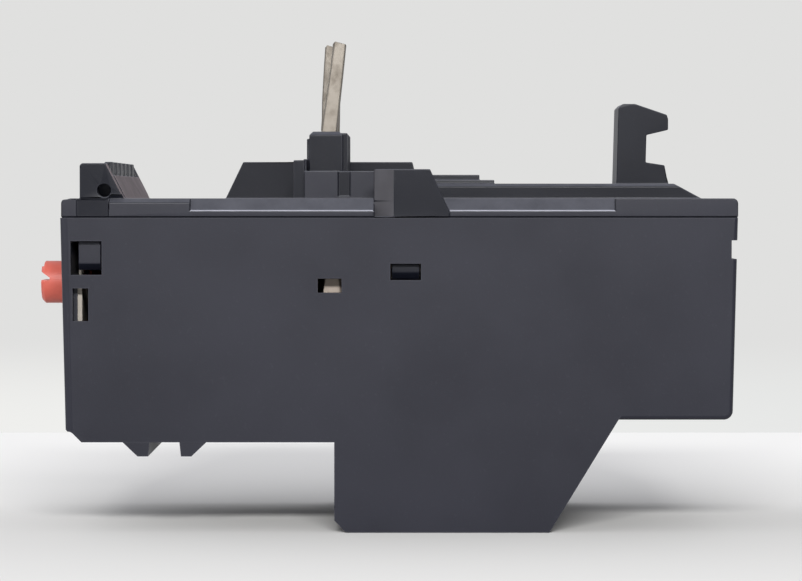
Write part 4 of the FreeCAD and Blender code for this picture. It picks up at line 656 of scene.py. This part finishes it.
def line_pins():
    """Three bent, tin-plated pins with shorn tips."""
    # for each pole, heights and how far the pin leans there
    bends = {1: ((53.6, 0.0), (54.5, -0.1), (60.0, -0.1), (63.0, 0.05)),
             2: ((53.6, 0.0), (54.3, -0.35), (56.0, -0.12), (58.0, -0.12), (61.0, -0.2),
                 (63.5, -0.12)),
             3: ((53.6, 0.0), (56.5, 0.0), (60.0, 0.03), (63.0, 0.02))}
    for pole, steps in bends.items():
        softened(f"line_pin_{pole}", f"line_pin_blade_{pole}", 0.06, "base", TIN,
                 segments=2, angle=32, shape=bent_pin(steps, pole))
    return [f"line_pin_{pole}" for pole in (1, 2, 3)]


def slide_end(piece):
    """Tapered end of the trip slide that shows in its test window."""
    edit(piece)
    bpy.ops.mesh.select_all(action="SELECT")
    bpy.ops.mesh.bisect(plane_co=(0.0186, 0, 0), plane_no=(1, 0, 0))
    moves = ((lambda co: co.y < -15 and co.z < 33, -0.4),
             (lambda co: co.y < -15 and co.z > 33, -0.15),
             (lambda co: co.y > -13.6 and co.z < 33, -0.95),
             (lambda co: co.y > -13.6 and co.z > 33, -1.15))
    for place, move in moves:
        pick(piece, lambda co, n: co.x > 18.7 and place(co), "verts")
        shift(0, move, 0)
    leave()


def slides():
    """Trip slide with its tapered end."""
    softened("trip_slider", "trip_slider_bar", 0.1, "slide", CREAM,
             shape=slide_end)
    return ["trip_slider"]


DIAL_X, DIAL_Z = -12.5, 32.8      # middle of the dial
PRINT_Y = -48.81                  # face of the print
NUMBERS = ("4", "4.5", "5", "5.5", "6")
TICKS_PER_NUMBER = 3


def tick_mark(angle, length):
    """One tapered tick of the scale, at an angle round the dial and of a length in millimetres."""
    tick = box_piece("tick", (-0.07, -48.83, 5.95), (0.07, -48.79, 5.95 + length))
    edit(tick)
    pick(tick, lambda m, n: n.z > 0.9)
    bpy.ops.transform.resize(value=(0.6, 1, 1), center_override=(0, -0.0488, 0.0065))
    leave()
    tick.rotation_euler = (0, angle, 0)
    tick.location = (DIAL_X * MM, 0, DIAL_Z * MM)
    apply_place(tick)
    return tick


def number_mark(angle, words):
    """One number of the scale, upright, at an angle round the dial."""
    radius = 7.35
    deselect()
    bpy.ops.object.text_add(rotation=(math.pi / 2, 0, 0), location=(
        (DIAL_X + radius * math.sin(angle)) * MM, PRINT_Y * MM,
        (DIAL_Z + radius * math.cos(angle)) * MM))
    number = bpy.context.active_object
    number.data.body = words
    number.data.size = 1.35 * MM
    number.data.extrude = 0.02 * MM
    number.data.align_x = "CENTER"
    number.data.align_y = "CENTER"
    number.data.resolution_u = 4
    take(number)
    bpy.ops.object.convert(target="MESH")
    apply_place(bpy.context.active_object)
    return bpy.context.active_object


def dial_scale():
    """Ticks and plain numbers printed round the setting dial."""
    marks = []
    for step in range(TICKS_PER_NUMBER * (len(NUMBERS) - 1) + 1):
        angle = math.radians(-120 + step * 20)
        at_number = step % TICKS_PER_NUMBER == 0
        marks.append(tick_mark(angle, 0.75 if at_number else 0.45))
        if at_number:
            marks.append(number_mark(angle, NUMBERS[step // TICKS_PER_NUMBER]))
    deselect()
    for mark in marks:
        mark.select_set(True)
    bpy.context.view_layer.objects.active = marks[0]
    bpy.ops.object.join()
    scale = bpy.context.active_object
    scale.name = "dial_scale_print"
    outward(scale)
    finish_piece(scale, "base", PRINT)


# ---------------------------------------------------------------- floor, lights and camera
BACKDROP = "#e0e0df"
FOLD_X = -0.164           # the fold of the sheet behind the object, in metres


def studio():
    """Pale sheet on the table: white in front, greyer past its fold, which reads as a wall."""
    deselect()
    # a hair below the part, so that the sheet and the part's underside are never in one plane
    bpy.ops.mesh.primitive_plane_add(size=1, location=(0, 0, -0.05 * MM))
    floor = bpy.context.active_object
    floor.name = "studio_floor"
    floor.scale = (6, 6, 1)
    apply_place(floor)
    material, tree, output = new_material("matt_paper_sheet")
    place = add_node(tree, "ShaderNodeTexCoord").outputs["Object"]
    along = add_node(tree, "ShaderNodeSeparateXYZ", {"Vector": place}).outputs
    # white part with painted shade, dimmer towards the camera's side, and with faint clouds
    painted_shade = spread(tree, along["X"], 0.05, -0.14, 0.72, 1.0, interpolation_type="SMOOTHSTEP")
    cloud = spread(tree, noise(tree, place, 180, 1.0), 0.0, 1.0, 0.985, 1.015)
    white = blend(tree, calculate(tree, "MULTIPLY", painted_shade, cloud), (0, 0, 0, 1), ink("#fcfbf8"),
                  clamp_factor=False)
    paper = add_node(tree, "ShaderNodeBsdfDiffuse", {"Color": white})
    # grey part past the fold, shown to the camera and in gloss at its own colour, with painted
    # light:
    # paler near the fold and towards -Y, greyer further back
    far = spread(tree, along["X"], FOLD_X, -0.6, interpolation_type="SMOOTHSTEP")
    side = spread(tree, along["Y"], -0.05, 0.09, interpolation_type="SMOOTHSTEP")
    near_grey = blend(tree, side, ink("#efefed"), ink("#e7e8e7"))
    grey = blend(tree, far, near_grey, ink(BACKDROP))
    glow = add_node(tree, "ShaderNodeEmission", {"Color": grey, "Strength": 1.0})
    dull = add_node(tree, "ShaderNodeBsdfDiffuse", {"Color": ink(BACKDROP)})
    seen = add_node(tree, "ShaderNodeLightPath").outputs
    looks = calculate(tree, "MAXIMUM", seen["Is Camera Ray"], seen["Is Glossy Ray"])
    beyond = add_node(tree, "ShaderNodeMixShader", {
        0: looks, 1: dull.outputs["BSDF"], 2: glow.outputs["Emission"]})
    fold = spread(tree, along["X"], FOLD_X + 0.0025, FOLD_X)
    sheet = add_node(tree, "ShaderNodeMixShader", {
        0: fold, 1: paper.outputs["BSDF"], 2: beyond.outputs["Shader"]})
    # nothing of the sheet is seen from below
    under = add_node(tree, "ShaderNodeNewGeometry")
    clear = add_node(tree, "ShaderNodeBsdfTransparent")
    shown = add_node(tree, "ShaderNodeMixShader", {
        0: under.outputs["Backfacing"], 1: sheet.outputs["Shader"], 2: clear.outputs["BSDF"]})
    tree.links.new(shown.outputs["Shader"], output.inputs["Surface"])
    floor.data.materials.append(material)


def soft_light(name, place, target, size, power):
    """A rectangular soft lamp aimed at a point, all in metres and watts."""
    lamp = bpy.data.lights.new(name, "AREA")
    lamp.shape = "RECTANGLE"
    lamp.size, lamp.size_y = size
    lamp.energy = power
    holder = bpy.data.objects.new(name, lamp)
    holder.location = place
    holder.rotation_euler = (Vector(target) - Vector(place)).to_track_quat("-Z", "Y").to_euler()
    bpy.context.scene.collection.objects.link(holder)


def soft_room():
    """A pale ceiling, a pale wall behind the object and a dim room in front of it."""
    world = bpy.data.worlds.new("soft_room")
    world.use_nodes = True
    tree = world.node_tree
    look = add_node(tree, "ShaderNodeSeparateXYZ", {
        "Vector": add_node(tree, "ShaderNodeTexCoord").outputs["Generated"]}).outputs
    ceiling = spread(tree, look["Z"], 0.0, 1.0, 0.12, 0.7)
    rear_wall = spread(tree, look["X"], 0.0, -0.8, to_high=0.42)
    left_wall = spread(tree, look["Y"], -0.2, -0.9, to_high=0.6)
    walls = calculate(tree, "ADD", rear_wall, left_wall)
    room = tree.nodes["Background"]
    room.inputs["Color"].default_value = ink("#f6f7fc")
    tree.links.new(calculate(tree, "ADD", ceiling, walls), room.inputs["Strength"])
    # the camera sees an even backdrop instead
    backdrop = add_node(tree, "ShaderNodeBackground", {"Color": ink(BACKDROP), "Strength": 1.0})
    seen = add_node(tree, "ShaderNodeLightPath").outputs
    both = add_node(tree, "ShaderNodeMixShader", {
        0: seen["Is Camera Ray"], 1: room.outputs["Background"],
        2: backdrop.outputs["Background"]})
    tree.links.new(both.outputs["Shader"], tree.nodes["World Output"].inputs["Surface"])
    bpy.context.scene.world = world


CAMERA_PLACE = (0.4525, -0.00547, 0.04473)     # 0.43 m off the side wall, in metres
CAMERA_DIP = 1.64                              # how far it looks down, in degrees
CAMERA_LENS, CAMERA_SENSOR = 144.8, 36         # in millimetres


def camera():
    """A long lens that looks at the side of the object from about 0.43 m."""
    eye = bpy.data.cameras.new("camera")
    eye.lens = CAMERA_LENS
    eye.sensor_width = CAMERA_SENSOR
    holder = bpy.data.objects.new("camera", eye)
    holder.location = CAMERA_PLACE
    holder.rotation_euler = (math.radians(90 - CAMERA_DIP), 0, math.radians(90))
    bpy.context.scene.collection.objects.link(holder)
    bpy.context.scene.camera = holder


replaced = housing_and_cover() + controls() + line_pins() + slides() + springs()
dial_scale()
paint_the_rest(replaced)
studio()
soft_room()
soft_light("window_light", place=(0.80, 0.0, 0.40), target=(0.0, 0.0, 0.02), size=(0.42, 0.10),
           power=7.7)
camera()
bpy.context.scene.view_settings.view_transform = "Standard"
